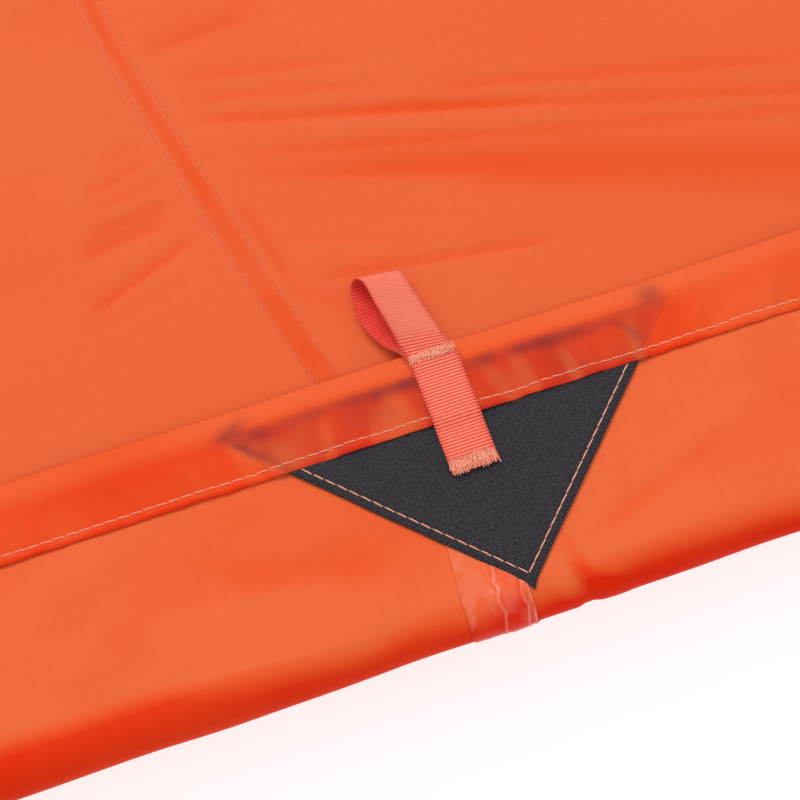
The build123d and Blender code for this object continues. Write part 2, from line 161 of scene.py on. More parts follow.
# creases that fan out of the right side seam behind the cuff, both as relief and as painted
# shade in the colour: x and distance back of both ends, half width of the fold, and how deep it
# looks
SEAM_CREASES = (
    (225, 166.5, 277, 156.7, 1.2, 0.60), (307, 150.6, 334, 146.8, 1.6, 0.35),
    (226, 159.9, 285, 146.7, 1.2, 0.60), (290, 143.3, 406, 116.1, 1.7, 0.75),
    (227, 153.0, 322, 128.9, 1.3, 1.00), (262, 145.0, 439, 96.7, 1.4, 0.90),
    (229, 142.1, 438, 93.1, 0.9, 0.70), (233, 134.6, 316, 112.6, 2.6, 0.50),
    (256, 128.9, 458, 69.7, 5.5, 0.65), (287, 118.4, 479, 50.4, 7.0, 0.60),
    (236, 122.9, 288, 105.8, 1.6, 0.30), (238, 114.4, 278, 101.6, 1.3, 0.50),
    (243, 101.1, 319, 90.3, 1.3, 0.85), (230, 127.4, 238, 96.5, 0.8, 0.90),
    (237, 99.7, 250, 89.8, 0.9, 0.60), (219, 177.0, 256, 179.6, 3.2, 0.70),
    (199, 148.7, 212, 151.2, 1.2, 0.50), (194, 141.1, 216, 147.6, 1.3, 0.70),
    (193, 136.8, 217, 140.2, 1.2, 0.60), (191, 130.9, 219, 133.5, 1.3, 0.60),
    (187, 125.6, 216, 130.0, 3.0, 0.90), (185, 109.8, 222, 123.7, 1.5, 1.00),
    (183, 104.7, 212, 111.5, 2.0, 0.40),
)


# soft creases in the cuff beside the patch's tip, both as relief and as painted shade in
# the colour: x and distance down of both ends, half width, and how deep they look
CUFF_CREASES = (
    (279, 58, 282, 74, 1.4, 0.7), (281, 72, 300, 74, 2.6, 0.8), (271, 69, 281, 75, 2.0, -0.6),
    (284, 67, 318, 57, 3.4, -0.6), (228, 69, 255, 66, 2.2, 0.4), (176, 50, 225, 53, 4.0, -0.4),
    (288, 60, 330, 44, 2.2, 0.45), (196, 40, 240, 52, 3.2, 0.35), (300, 50, 345, 34, 2.6, -0.4),
    (278, 66, 289, 73, 1.8, 0.80), (275, 67, 279, 73, 1.6, -0.70),
    (270, 71, 281, 75, 1.8, 1.00), (282, 66, 292, 66, 2.2, -0.50),
)


def long_creases():
    """Seeded creases down the rest of the bag: most fan out of a side seam, some cross it."""
    rng = np.random.default_rng(41)
    made = []
    for side in (-1, 1):
        for back in np.arange(190.0, 1900.0, 26.0):
            out = rng.choice((-1, 1))
            start = back + rng.uniform(-12, 12)
            reach = rng.uniform(45, 170)
            turn = math.radians(rng.uniform(-24, 24))
            x0 = side * (float(seam_at(start)) + out * 5.0)
            made.append((x0, start, x0 + side * out * reach * math.cos(turn),
                         start + reach * math.sin(turn), rng.uniform(2.5, 6.0),
                         rng.uniform(-2.4, 1.0)))
    for _ in range(90):
        x0, y0 = rng.uniform(-380, 380), rng.uniform(200, 1960)
        reach, turn = rng.uniform(80, 320), math.radians(rng.uniform(-35, 35))
        made.append((x0, y0, x0 + reach * math.cos(turn), y0 + reach * math.sin(turn),
                     rng.uniform(4.0, 12.0), rng.uniform(-3.0, 3.0)))
    return made


LONG_CREASES = long_creases()


def nearby(x, back, lines, each):
    """Adds each line's crease over the points near it."""
    total = np.zeros(np.shape(back))
    for line in lines:
        near = (back > min(line[1], line[3]) - 30) & (back < max(line[1], line[3]) + 30)
        if near.any():
            total[near] += each(x[near], back[near], line)
    return total


def bag_lift(x, back):
    """Height of the bag's top over its even slope: slow swells, creases and a fine crumple."""
    far = smooth((back - 190.0) / 160.0)
    lift = 4.0 * far * noise(x, back, 170.0, 3) + 2.2 * far * noise(x, back, 74.0, 4)
    lift += 0.8 * noise(x, back, 60.0, 5) + 0.12 * noise(x, back, 17.0, 6)
    lift += 0.5 * far * noise(x, back, 31.0, 7)
    for side, slide in ((1.0, 0.0), (-1.0, 3.0)):
        lift += nearby(side * x, back, SEAM_CREASES, lambda u, v, c: crease(
            u, v, c[0], c[1] + slide, c[2], c[3] - slide, max(1.3 * c[4], 1.8), -0.36 * c[5]))
    lift += nearby(x, back, LONG_CREASES, lambda u, v, c: crease(u, v, *c[:5], 1.5 * c[5]))
    off_seam = (np.abs(x) - seam_at(back)) / 9.0
    lift = lift * (1 - 0.75 * np.exp(-(1.8 * off_seam) ** 2)) - 0.5 * np.exp(-off_seam ** 2)
    return lift * smooth((back - 60.0) / 24.0) * smooth((BAG_LENGTH - back) / 40.0)


def bag_painted_shade(x, back):
    """Painted shade on the bag's top: deepest in its creases, standing in for light that has
    passed through the cloth and reddened there, and in slow random clouds between them."""
    shade_depth = 0.14 + 0.20 * noise(x, back, 90.0, 11) + 0.10 * noise(x, back * 1.6, 34.0, 12)
    for side, slide in ((1.0, 0.0), (-1.0, 3.0)):
        shade_depth += nearby(side * x, back, SEAM_CREASES, lambda u, v, c: crease(
            u, v, c[0], c[1] + slide, c[2], c[3] - slide, max(c[4], 1.5), 0.74 * c[5]))
    shade_depth += nearby(x, back, LONG_CREASES, lambda u, v, c: crease(
        u, v, *c[:4], 0.8 * c[4], 0.26 * max(-c[5], 0.0)))
    return np.clip(shade_depth, 0.0, 1.15)


def cuff_painted_shade(x, run):
    """Painted shade on the cuff: slow soft random bands, painted shade in its creases, and a
    full red of painted shade along the fold, standing in for two layers glowing into one another."""
    start = -1.0 - 4.5 * smooth((222.0 - np.abs(x)) / 60.0) + 1.4 * noise(x, 0 * run, 17.0, 13)
    fold_shade = smooth((run - (CUFF_RUN + start)) / 7.0)
    bands = (0.22 + 0.42 * noise(x * 0.5 + run, run - 0.3 * x, 27.0, 14)
             + 0.14 * noise(x, run, 12.0, 15))
    bands += nearby(np.abs(x), run + 0 * x, CUFF_CREASES, lambda u, v, c: crease(u, v, *c))
    return np.clip(bands, -0.3, 1.2) * (1 - 0.5 * fold_shade) + 1.85 * fold_shade


def hem_pucker(x, down):
    """Gathers along the hem's stitching: short waves across it, strongest at the needle line."""
    fan = x + 0.5 * down * noise(x, 0 * down, 30.0, 42)
    wave = noise(fan, down * 0.3, 7.5, 21) + 0.6 * noise(fan, down * 0.25, 3.8, 22)
    return wave * np.exp(-((down - STITCH_IN + 3.0) / 7.0) ** 2)


def inside_slant(axis, down):
    """How far a point is inside the patch's nearer slanted edge."""
    return (PATCH_TIP - PATCH_SLOPE * np.abs(axis) - down) / math.hypot(1, PATCH_SLOPE)


def patch_cover(x, down, soft=4.0):
    """1 on the corner patches, fading to 0 over the given distance around them."""
    inside = np.minimum(inside_slant(np.abs(x) - SEAM_MOUTH, down), down - PATCH_IN)
    return smooth(0.5 + inside / soft)


def cuff_lift(x, down):
    """Height of the cuff over its flat plane, down from the mouth edge toward the fold."""
    calm = 1 - 0.75 * patch_cover(x, down, 16.0)
    lift = calm * (0.9 * noise(x, down, 64.0, 8) + 0.3 * noise(x, down, 23.0, 9))
    lift += 0.35 * calm * noise(x * 0.6 + down, down * 0.5 - x * 0.2, 14.0, 10)
    lift += 0.28 * hem_pucker(x, down)
    lift += nearby(np.abs(x), down + 0 * x, CUFF_CREASES, lambda u, v, c: crease(
        u, v, *c[:4], 1.4 * c[4], -0.7 * c[5]))
    return lift


# ---- the bag's surface ---------------------------------------------------------------
def station(run, off):
    """Mouth-plane position and rises at a run along the cloth from the mouth edge.

    The run goes down the cuff, round the front roll and back along the bag; off is the
    distance outward from the cloth's inside face.
    """
    run = np.asarray(run, dtype=float)
    share = np.clip(run / CUFF_RUN, 0, 1)
    angle = math.pi / 2 - np.clip((run - CUFF_RUN) / ROLL_LENGTH, 0, 1) * math.pi
    rest = np.maximum(run - CUFF_RUN - ROLL_LENGTH, 0)
    rise_roll = ROLL - CLOTH + (ROLL + off) * np.sin(angle)
    q_roll = ROLL - (ROLL + off + FOLD_OUT) * np.cos(angle) + LEAN * rise_roll
    drop_roll = ROLL_LOW - CLOTH + (ROLL_LOW + off) * np.sin(angle)
    on_cuff = run <= CUFF_RUN
    q = np.where(on_cuff, Q_EDGE + (Q_ROLL - Q_EDGE) * share, q_roll + rest)
    rise = np.where(on_cuff, EDGE_RISE + (FOLD_RISE - EDGE_RISE) * share + off, rise_roll)
    side = np.where(on_cuff, EDGE_FLARE + (FOLD_RISE - EDGE_FLARE) * share + off, rise_roll)
    drop = np.where(on_cuff, PLY_GAP + CLOTH + off, drop_roll)
    return q, rise, side, drop, angle, rest


def outward(run):
    """Direction out of the cloth's inside face on the bag's top: up, round the roll, down."""
    _, _, _, _, angle, rest = station(run, 0.0)
    roll = np.stack([np.zeros_like(angle), -np.cos(angle), np.sin(angle)], -1)
    return np.where((np.asarray(run) <= CUFF_RUN)[..., None], CUFF_NORMAL, roll)


def top_edge(q, rise, side, drop):
    """Half width, top and bottom heights and side rounding of the girth on a mouth plane."""
    half = half_at(q) + side
    top = top_at(q) + rise
    low = floor_at(q) - drop
    return half, top, low, 0.45 * (top - low)


def shoulder(run):
    """Half width of the flat top, inside its rounded sides, at one run."""
    q, rise, side, drop, _, _ = station(np.array([run]), 0.0)
    half, _, _, bend = top_edge(q, rise, side, drop)
    return float((half - bend)[0])


def top_lift(x, run):
    """How far the cloth stands out of its even surface on top, along outward(run)."""
    q, rise, _, _, _, rest = station(run, MID)
    back = q - LEAN * (rise + top_at(q) - MOUTH_HEIGHT) + 0.0 * x
    run = run + 0.0 * x
    on_cuff = cuff_lift(x, np.minimum(run, CUFF_RUN))
    fade = smooth((CUFF_RUN + ROLL_LENGTH - run) / ROLL_LENGTH)
    return np.where(run < CUFF_RUN + ROLL_LENGTH, on_cuff * fade, -bag_lift(x, back))


def top_points(x, run, off=MID, lift=None):
    """Points on the bag's top: x across and a run along the cloth from the mouth edge."""
    x, run = np.broadcast_arrays(np.asarray(x, float), np.asarray(run, float))
    q, rise, _, _, _, _ = station(run, off)
    z = top_at(q) + rise
    y = Y_BASE + q - LEAN * (z - MOUTH_HEIGHT)
    bump = top_lift(x, run) if lift is None else lift
    return np.stack([x, y, z], -1) + bump[..., None] * outward(run)


def run_of(back):
    """Run along the cloth at a distance back from the front fold on the bag's top."""
    start = CUFF_RUN + ROLL_LENGTH
    runs = start + np.linspace(0.0, BAG_LENGTH, 400)
    q, rise, _, _, _, _ = station(runs, MID)
    backs = q - LEAN * (top_at(q) + rise - MOUTH_HEIGHT)
    return np.interp(back, backs, runs)


def ring(x_top, run, n_side, n_low, off=MID, lift=None):
    """The whole girth at each run: the top, the right side, the underside, the left side.

    x_top is rows by columns, from the left shoulder to the right one; run is one per row.
    """
    run = np.asarray(run, float)[:, None]
    q, rise, side, drop, _, _ = station(run, off)
    half, top, low, bend = top_edge(q, rise, side, drop)
    upper = top_points(x_top, run, off, lift)
    fade = smooth((half - bend - np.abs(x_top)) / 30.0)[..., None]
    flat = top_points(x_top, run, off, 0.0 * x_top)
    upper = flat + (upper - flat) * fade
    turn = np.linspace(90, -90, n_side + 2)[1:-1] * math.pi / 180
    mid, tall = (top + low) / 2, (top - low) / 2
    side_x = half - bend + bend * np.cos(turn)[None, :]
    side_z = mid + tall * np.sin(turn)[None, :]
    low_x = (half - bend) * np.linspace(1, -1, n_low)[None, :]
    low_z = low + 0.0 * low_x
    x = np.concatenate([side_x, low_x, -side_x[:, ::-1]], 1)
    z = np.concatenate([side_z, low_z, side_z[:, ::-1]], 1)
    y = Y_BASE + q - LEAN * (z - MOUTH_HEIGHT)
    girth = np.concatenate([upper, np.stack([x, y, z], -1)], 1)
    sway = 3.6 * noise(np.sign(girth[..., 0]) * 300.0, girth[..., 1], 95.0, 16)
    sway = sway + 0.9 * noise(np.sign(girth[..., 0]) * 300.0, girth[..., 1], 33.0, 17)
    outer = ((np.abs(girth[..., 0]) - seam_at(np.maximum(q, 0)) - 14.0)
             / (half - seam_at(np.maximum(q, 0)) - 14.0))
    girth[..., 0] += (np.sign(girth[..., 0]) * (sway - 3.0) * smooth(outer)
                      * smooth((q - 110.0) / 120.0))
    return girth


# ---- meshes --------------------------------------------------------------------------
def grid_faces(rows, cols, wrap_cols=False):
    """Quads of a grid of points, closed across where asked."""
    index = np.arange(rows * cols).reshape(rows, cols)
    if wrap_cols:
        index = np.concatenate([index, index[:, :1]], 1)
    quads = [index[:-1, :-1], index[:-1, 1:], index[1:, 1:], index[1:, :-1]]
    return np.stack(quads, -1).reshape(-1, 4)


def make_piece(name, points, faces, uv=None, marks=None, material=None, thick=0.0):
    """Writes points in millimetres and faces to a smooth mesh object at the origin."""
    points = np.asarray(points, float).reshape(-1, 3)
    faces = np.asarray(faces)
    used, faces = np.unique(faces, return_inverse=True)
    faces = faces.reshape(-1, 4)
    mesh = bpy.data.meshes.new(name)
    mesh.from_pydata((points[used] * MM).tolist(), [], faces.tolist())
    if uv is not None:
        layer = mesh.uv_layers.new(name="cloth_mm")
        flat = np.asarray(uv, float).reshape(-1, 2)[used]
        loops = np.empty(len(mesh.loops), int)
        mesh.loops.foreach_get("vertex_index", loops)
        layer.data.foreach_set("uv", flat[loops].ravel())
    for key, values in (marks or {}).items():
        layer = mesh.attributes.new(key, "FLOAT", "POINT")
        layer.data.foreach_set("value", np.asarray(values, float).ravel()[used])
    mesh.polygons.foreach_set("use_smooth", np.ones(len(mesh.polygons), bool))
    mesh.update()
    piece = bpy.data.objects.new(name, mesh)
    bpy.context.scene.collection.objects.link(piece)
    if material is not None:
        mesh.materials.append(material)
    if thick:
        wall = piece.modifiers.new("cloth_thickness", "SOLIDIFY")
        wall.thickness = thick * MM
        wall.offset = 0.0
    return piece


def threads(starts, ends, normals, radius, bow=0.25, sides=6, stations=5):
    """Short bowed threads: a closed round tube from each start to its end, arched along
    the normal by the bow, its radius swelling from the ends to the middle."""
    starts, ends = np.asarray(starts, float), np.asarray(ends, float)
    normals = np.broadcast_to(np.asarray(normals, float), starts.shape)
    t = np.linspace(0, 1, stations)
    along = ends - starts
    unit = along / np.linalg.norm(along, axis=-1, keepdims=True)
    across = np.cross(unit, normals)
    across /= np.linalg.norm(across, axis=-1, keepdims=True)
    up = np.cross(across, unit)
    centre = starts[:, None] + along[:, None] * t[None, :, None]
    centre = centre + up[:, None] * (bow * np.sin(math.pi * t))[None, :, None]
    size = radius * (0.35 + 0.65 * np.sin(math.pi * np.clip(t, 0.12, 0.88)) ** 0.5)
    turn = np.arange(sides) * 2 * math.pi / sides
    circle = (np.cos(turn)[None, None, :, None] * across[:, None, None]
              + np.sin(turn)[None, None, :, None] * up[:, None, None])
    tube = centre[:, :, None] + circle * size[None, :, None, None]
    count = len(starts)
    points = tube.reshape(-1, 3)
    one = grid_faces(stations, sides, wrap_cols=True)
    caps = []
    last = (stations - 1) * sides
    for k in range(1, sides // 2):
        caps.append([k, k - 1, sides - k, sides - k - 1])
        caps.append([last + k - 1, last + k, last + sides - k - 1, last + sides - k])
    one = np.concatenate([one[:, ::-1], np.array(caps)])
    faces = one[None] + (np.arange(count) * stations * sides)[:, None, None]
    return points, faces.reshape(-1, 4)


def joined(parts):
    """Several pairs of points and faces as one pair."""
    starts = np.cumsum([0] + [len(points) for points, _ in parts[:-1]])
    return (np.concatenate([points for points, _ in parts]),
            np.concatenate([faces + start for (_, faces), start in zip(parts, starts)]))


def finish_piece(piece, nodes, body="bag"):
    """Rides the piece on its body and hides the plain solids it replaces."""
    if nodes:
        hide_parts(*nodes)
    if body:
        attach(piece, body)
    return piece


# ---- materials -----------------------------------------------------------------------
# painted light among these: the cloth's deep and fold reds are painted shade in creases and at the
# front fold, the tape's and the patch's light colours are painted highlights, and the ribbon's deep
# red is painted shade between its ribs and inside the loop
COLOURS = {
    "cloth": "#e8683b", "cloth_deep_shade": "#e85424", "cloth_fold_shade": "#e02400", "cloth_line": "#b83008",
    "cloth_shadow": "#6c2830", "patch": "#1b171c", "patch_thread_highlight": "#565058",
    "patch_sheen": "#8a8290", "tape_highlight": "#f09c80", "ribbon": "#f28668",
    "ribbon_shade": "#e42012", "ribbon_sheen": "#ffd9cf",
    "thread": ("#ee8c6c", "#f8b298"), "seam_thread": ("#e65c36", "#e86440"),
    "tack_thread": ("#ec7452", "#f8b090"),
}


def linear(code):
    """An sRGB hex colour as linear red, green, blue and alpha."""
    parts = [int(code[i:i + 2], 16) / 255 for i in (1, 3, 5)]
    return tuple(c / 12.92 if c <= 0.04045 else ((c + 0.055) / 1.055) ** 2.4
                 for c in parts) + (1.0,)


def add_node(tree, kind, inputs=None, **settings):
    """Adds one shader node with its settings, and fills or links its inputs."""
    node = tree.nodes.new(kind)
    for key, value in settings.items():
        setattr(node, key, value)
    for key, value in (inputs or {}).items():
        if isinstance(value, bpy.types.NodeSocket):
            tree.links.new(value, node.inputs[key])
        else:
            node.inputs[key].default_value = value
    return node


def new_material(name, inputs):
    """A material with one Principled shader, its constants set on the shader's sockets."""
    made = bpy.data.materials.new(name)
    made.use_nodes = True
    tree = made.node_tree
    tree.nodes.clear()
    shader = add_node(tree, "ShaderNodeBsdfPrincipled", inputs)
    add_node(tree, "ShaderNodeOutputMaterial", {"Surface": shader.outputs[0]})
    return made, tree, shader


def cloth_map(tree):
    """The cloth's map, in millimetres."""
    return add_node(tree, "ShaderNodeUVMap", uv_map="cloth_mm").outputs[0]


def painted(tree, name):
    """A value painted on the points."""
    return add_node(tree, "ShaderNodeAttribute", attribute_name=name).outputs["Fac"]


def speckle(tree, where, scale, detail, **more):
    """Noise texture."""
    return add_node(tree, "ShaderNodeTexNoise", {"Vector": where, "Scale": scale,
                                                 "Detail": detail, **more}).outputs[0]


def maths(tree, operation, *values, **settings):
    """The result of one operation on values or sockets."""
    return add_node(tree, "ShaderNodeMath", dict(enumerate(values)), operation=operation,
                    **settings).outputs[0]


def ranged(tree, *values, **settings):
    """A value moved from one range to another: value, from low, high, to low, high."""
    return add_node(tree, "ShaderNodeMapRange", dict(enumerate(values)), **settings).outputs[0]


def mixed(tree, share, first, second):
    """The first colour going over to the second by a share; colours are sockets or names."""
    pair = [linear(COLOURS[one]) if isinstance(one, str) else one for one in (first, second)]
    return add_node(tree, "ShaderNodeMix", {0: share, 6: pair[0], 7: pair[1]},
                    data_type="RGBA").outputs[2]


def finish_look(tree, shader, colour, height, strength, distance):
    """Links the colour, and a bump of the height, to the shader."""
    tree.links.new(colour, shader.inputs["Base Color"])
    bump = add_node(tree, "ShaderNodeBump", {"Height": height, "Strength": strength,
                                             "Distance": distance})
    tree.links.new(bump.outputs[0], shader.inputs["Normal"])


def ripstop_grid(tree, uv, pitch, width):
    """0 to 1 on the reinforcing threads: both UV axes, one thread every pitch millimetres."""
    part = add_node(tree, "ShaderNodeSeparateXYZ", {0: uv})
    lines = [ranged(tree, maths(tree, "PINGPONG", part.outputs[axis], pitch / 2), 0.0, width,
                    1.0, 0.0, interpolation_type="SMOOTHSTEP") for axis in (0, 1)]
    return maths(tree, "MAXIMUM", *lines)


def with_painted_shade(tree):
    """The cloth's colour with its painted shade: the plain colour, the deeper painted shade of
    creases, then the red painted shade of a fold.
    """
    shade_depth = painted(tree, "tone_and_shade")
    tone = mixed(tree, shade_depth, "cloth", "cloth_deep_shade")
    more = maths(tree, "SUBTRACT", shade_depth, 1.0, use_clamp=True)
    return mixed(tree, more, tone, "cloth_fold_shade")


def ripstop_cloth(name, pitch, shadow=False):
    """Coated ripstop nylon: smooth, faintly shiny woven cloth with a grid of thicker threads.

    The thread grid and a fine crumple show as slight shade and relief, and the coating gives
    a soft highlight.
    """
    made, tree, shader = new_material(name, {"Roughness": 0.55, "Specular IOR Level": 0.06})
    uv = cloth_map(tree)
    grid = ripstop_grid(tree, uv, pitch, 0.30)
    fine = speckle(tree, uv, 0.55, 3.0, Roughness=0.55)
    patchy = speckle(tree, uv, 0.22, 1.0)
    grain = speckle(tree, uv, 2.2, 1.0)
    worn = ranged(tree, patchy, 0.40, 0.70, 0.02, 0.10)
    lined = maths(tree, "MULTIPLY", grid, worn)
    tint = maths(tree, "MULTIPLY_ADD", grain, 0.12, lined)
    # the colour carries the painted shade of creases and folds, tinted toward the grid threads' own
    # darker colour
    colour = mixed(tree, tint, with_painted_shade(tree), "cloth_line")
    if shadow:
        colour = mixed(tree, painted(tree, "shadow"), colour, "cloth_shadow")
    height = maths(tree, "MULTIPLY_ADD", grid, 0.25, fine)
    finish_look(tree, shader, colour, height, 0.08, 0.0005)
    return made


def patch_cloth(name):
    """Heavy woven nylon: a matt charcoal plain weave with painted highlights where its threads
    catch a little light.
    """
    made, tree, shader = new_material(name, {
        "Roughness": 0.78, "Specular IOR Level": 0.3, "Sheen Weight": 0.25,
        "Sheen Roughness": 0.6, "Sheen Tint": linear(COLOURS["patch_sheen"])})
    uv = cloth_map(tree)
    warp, weft = (add_node(tree, "ShaderNodeTexWave", {
        "Vector": uv, "Scale": 0.42, "Distortion": 1.2, "Detail": 1.0},
        bands_direction=axis).outputs["Fac"] for axis in "XY")
    weave = maths(tree, "MULTIPLY", warp, weft)
    fleck = speckle(tree, uv, 1.1, 3.0, Roughness=0.7)
    spot = ranged(tree, fleck, 0.38, 0.66, 0.0, 1.3, clamp=False)
    level = maths(tree, "MULTIPLY", weave, spot, use_clamp=True)
    # painted highlight on the weave's thread crossings, in random spots; the same value is the bump
    finish_look(tree, shader, mixed(tree, level, "patch", "patch_thread_highlight"), level, 0.55, 0.0005)
    return made


def seam_tape(name):
    """Clear polyurethane seam tape over the cloth: the same orange with its painted shade, pale
    clouds of painted highlight and pale lines painted along the needle rows and edges; its gloss
    gives broken highlights."""
    made, tree, shader = new_material(name, {"Roughness": 0.28, "Specular IOR Level": 0.18})
    uv = cloth_map(tree)
    cloud = speckle(tree, uv, 0.13, 3.0, Distortion=0.8)
    # painted highlights: pale clouds standing in for the gloss's reflections
    highlight_clouds = ranged(tree, cloud, 0.48, 0.66, 0.0, 0.22)
    both = maths(tree, "MULTIPLY_ADD", painted(tree, "line"), 0.75, highlight_clouds, use_clamp=True)
    colour = mixed(tree, both, with_painted_shade(tree), "tape_highlight")
    finish_look(tree, shader, colour, speckle(tree, uv, 0.17, 2.0), 0.35, 0.0012)
    return made


def spun_thread(name, colour):
    """Spun polyester: soft twisted thread, with a twist every half millimetre."""
    made, tree, shader = new_material(name, {
        "Roughness": 0.6, "Specular IOR Level": 0.35, "Sheen Weight": 0.3,
        "Sheen Roughness": 0.5})
    where = add_node(tree, "ShaderNodeTexCoord")
    twist = speckle(tree, where.outputs["Object"], 2200.0, 1.0)
    dark, light = (linear(code) for code in COLOURS[colour])
    finish_look(tree, shader, mixed(tree, twist, dark, light), twist, 0.5, 0.0002)
    return made


def grosgrain(name):
    """Polyester grosgrain: cross ribs of spun weft under fine warp, its colour carrying painted
    light: highlights on the rib crests, shade between them, along the edges and inside the loop.
    """
    made, tree, shader = new_material(name, {
        "Roughness": 0.58, "Specular IOR Level": 0.35, "Sheen Weight": 0.3,
        "Sheen Roughness": 0.5, "Sheen Tint": linear(COLOURS["ribbon_sheen"])})
    uv = cloth_map(tree)
    part = add_node(tree, "ShaderNodeSeparateXYZ", {0: uv})
    fleck = speckle(tree, uv, 2.4, 2.0)
    level = maths(tree, "MULTIPLY_ADD", fleck, 0.5, -0.25)
    # the painted crest value: painted highlight on rib crests, painted shade between them, at the
    # edges and on the loop's inner face
    level = maths(tree, "ADD", level, painted(tree, "crest"), use_clamp=True)
    warp = maths(tree, "PINGPONG", part.outputs[0], 0.2)
    grain = maths(tree, "MULTIPLY_ADD", warp, 2.0, fleck)
    finish_look(tree, shader, mixed(tree, level, "ribbon_shade", "ribbon"), grain, 0.3, 0.0003)
    return made


def material(name):
    """One of the object's materials, made when it is first asked for."""
    if name in bpy.data.materials:
        return bpy.data.materials[name]
    pitch = bpy.context.scene.bivy_sizes.ripstop_pitch * 1000
    makers = {
        "coated_ripstop_nylon": lambda: ripstop_cloth(name, pitch),
        "coated_ripstop_nylon_hem": lambda: ripstop_cloth(name, pitch, shadow=True),
        "woven_charcoal_nylon": lambda: patch_cloth(name),
        "polyurethane_seam_tape": lambda: seam_tape(name),
        "spun_polyester_thread": lambda: spun_thread(name, "thread"),
        "spun_polyester_seam_thread": lambda: spun_thread(name, "seam_thread"),
        "spun_polyester_tack_thread": lambda: spun_thread(name, "tack_thread"),
        "polyester_grosgrain": lambda: grosgrain(name),
    }
    return makers[name]()


# ---- grids over the bag --------------------------------------------------------------
def graded(start, stop, first, growth, most):
    """Values from start to stop whose steps grow from the first by the growth, to the most."""
    values, step = [start], first
    while values[-1] < stop:
        values.append(values[-1] + step)
        step = min(step * growth, most)
    values = np.array(values)
    return start + (values - start) * (stop - start) / (values[-1] - start)


def bag_grid():
    """Columns and rows over the whole cloth, fine at the two mouth corners.

    Top columns follow the seams: a share of the seam's distance between them, then a share
    of the margin outside them.
    """
    inner = np.concatenate([0.5 - graded(0.0, 0.5, 0.008, 1.12, 0.04)[:0:-1],
                            np.linspace(0.5, 1.0, 60)])
    shares = np.concatenate([-inner[::-1], inner[1:]])
    margin = np.concatenate([np.linspace(0, 0.5, 39), np.linspace(0.5, 1, 17)[1:]])[1:]
    visible = run_of(66.0)
    runs = np.concatenate([
        np.linspace(0, CUFF_RUN, 32)[:-1],
        CUFF_RUN + ROLL_LENGTH * np.linspace(0, 1, 11)[:-1],
        np.linspace(CUFF_RUN + ROLL_LENGTH, visible, 8)[:-1],
        np.linspace(visible, run_of(186.0), 100)[:-1],
        graded(run_of(186.0), run_of(FOOT_SEAM), 1.6, 1.08, 15.0)[:-1],
        np.linspace(run_of(FOOT_SEAM), run_of(BAG_LENGTH - 11.0), 6)])
    return shares, margin, runs


def seam_x(runs):
    """Seam's distance from the centre line at each run, on the cuff or on the bag."""
    q, rise, _, _, _, _ = station(runs, MID)
    back = q - LEAN * (top_at(q) + rise - MOUTH_HEIGHT)
    on_cuff = SEAM_MOUTH + (SEAM_FOLD - SEAM_MOUTH) * np.clip(runs / CUFF_RUN, 0, 1)
    return np.where(runs < CUFF_RUN + ROLL_LENGTH / 2, on_cuff, seam_at(np.maximum(back, 0)))


N_SIDE, N_LOW = 12, 26


def bag_cloth():
    """Points, map and piece masks of the whole cloth, closed round the girth."""
    shares, margin, runs = bag_grid()
    seam = seam_x(runs)[:, None]
    q, rise, side, drop, _, _ = station(runs[:, None], MID)
    half, top, low, bend = top_edge(q, rise, side, drop)
    edge = half - bend
    right = seam + (edge - seam) * margin[None, :]
    x_top = np.concatenate([-right[:, ::-1], seam * shares[None, :], right], 1)
    points = ring(x_top, runs, N_SIDE, N_LOW)
    wrap = np.zeros(points.shape[:2])
    step = np.linalg.norm(np.diff(points[:, x_top.shape[1] - 1:, ], axis=1), axis=-1)
    wrap[:, x_top.shape[1]:] = np.cumsum(step, 1)
    u = wrap + np.concatenate(
        [x_top, np.repeat(x_top[:, -1:], points.shape[1] - x_top.shape[1], 1)], 1)
    v = np.repeat(runs[:, None], points.shape[1], 1)
    back = points[..., 1] - Y_BASE
    upper = slice(0, x_top.shape[1])
    # painted shade in the colour: the cuff's and the bag top's creases, clouds and fold; the sides
    # and underside get one middle value
    tone_and_shade = np.full(points.shape[:2], 0.7)
    turned = (runs < CUFF_RUN + ROLL_LENGTH * 0.75)[:, None]
    tone_and_shade[:, upper] = np.where(turned, cuff_painted_shade(x_top, v[:, upper]),
                              bag_painted_shade(x_top, back[:, upper]))
    return points, np.stack([u, v], -1), tone_and_shade, len(margin), len(shares), runs


def foot_cap(last, steps=6):
    """Rows that round off the foot: each closes the height and moves back along a half circle."""
    mid = (last[:, 2].max() + last[:, 2].min()) / 2
    angle = np.linspace(0, math.pi / 2, steps + 1)[1:, None]
    tall = (last[:, 2] - mid)[None, :]
    z = mid + tall * np.cos(angle)
    y = (last[None, :, 1] * np.cos(angle) ** 0.5
         + (last[:, 1].max() + 4.0) * (1 - np.cos(angle) ** 0.5))
    x = last[None, :, 0] * (1 - 0.006 * np.sin(angle))
    return np.stack([x + 0 * z, y, np.maximum(z, 0.16)], -1)


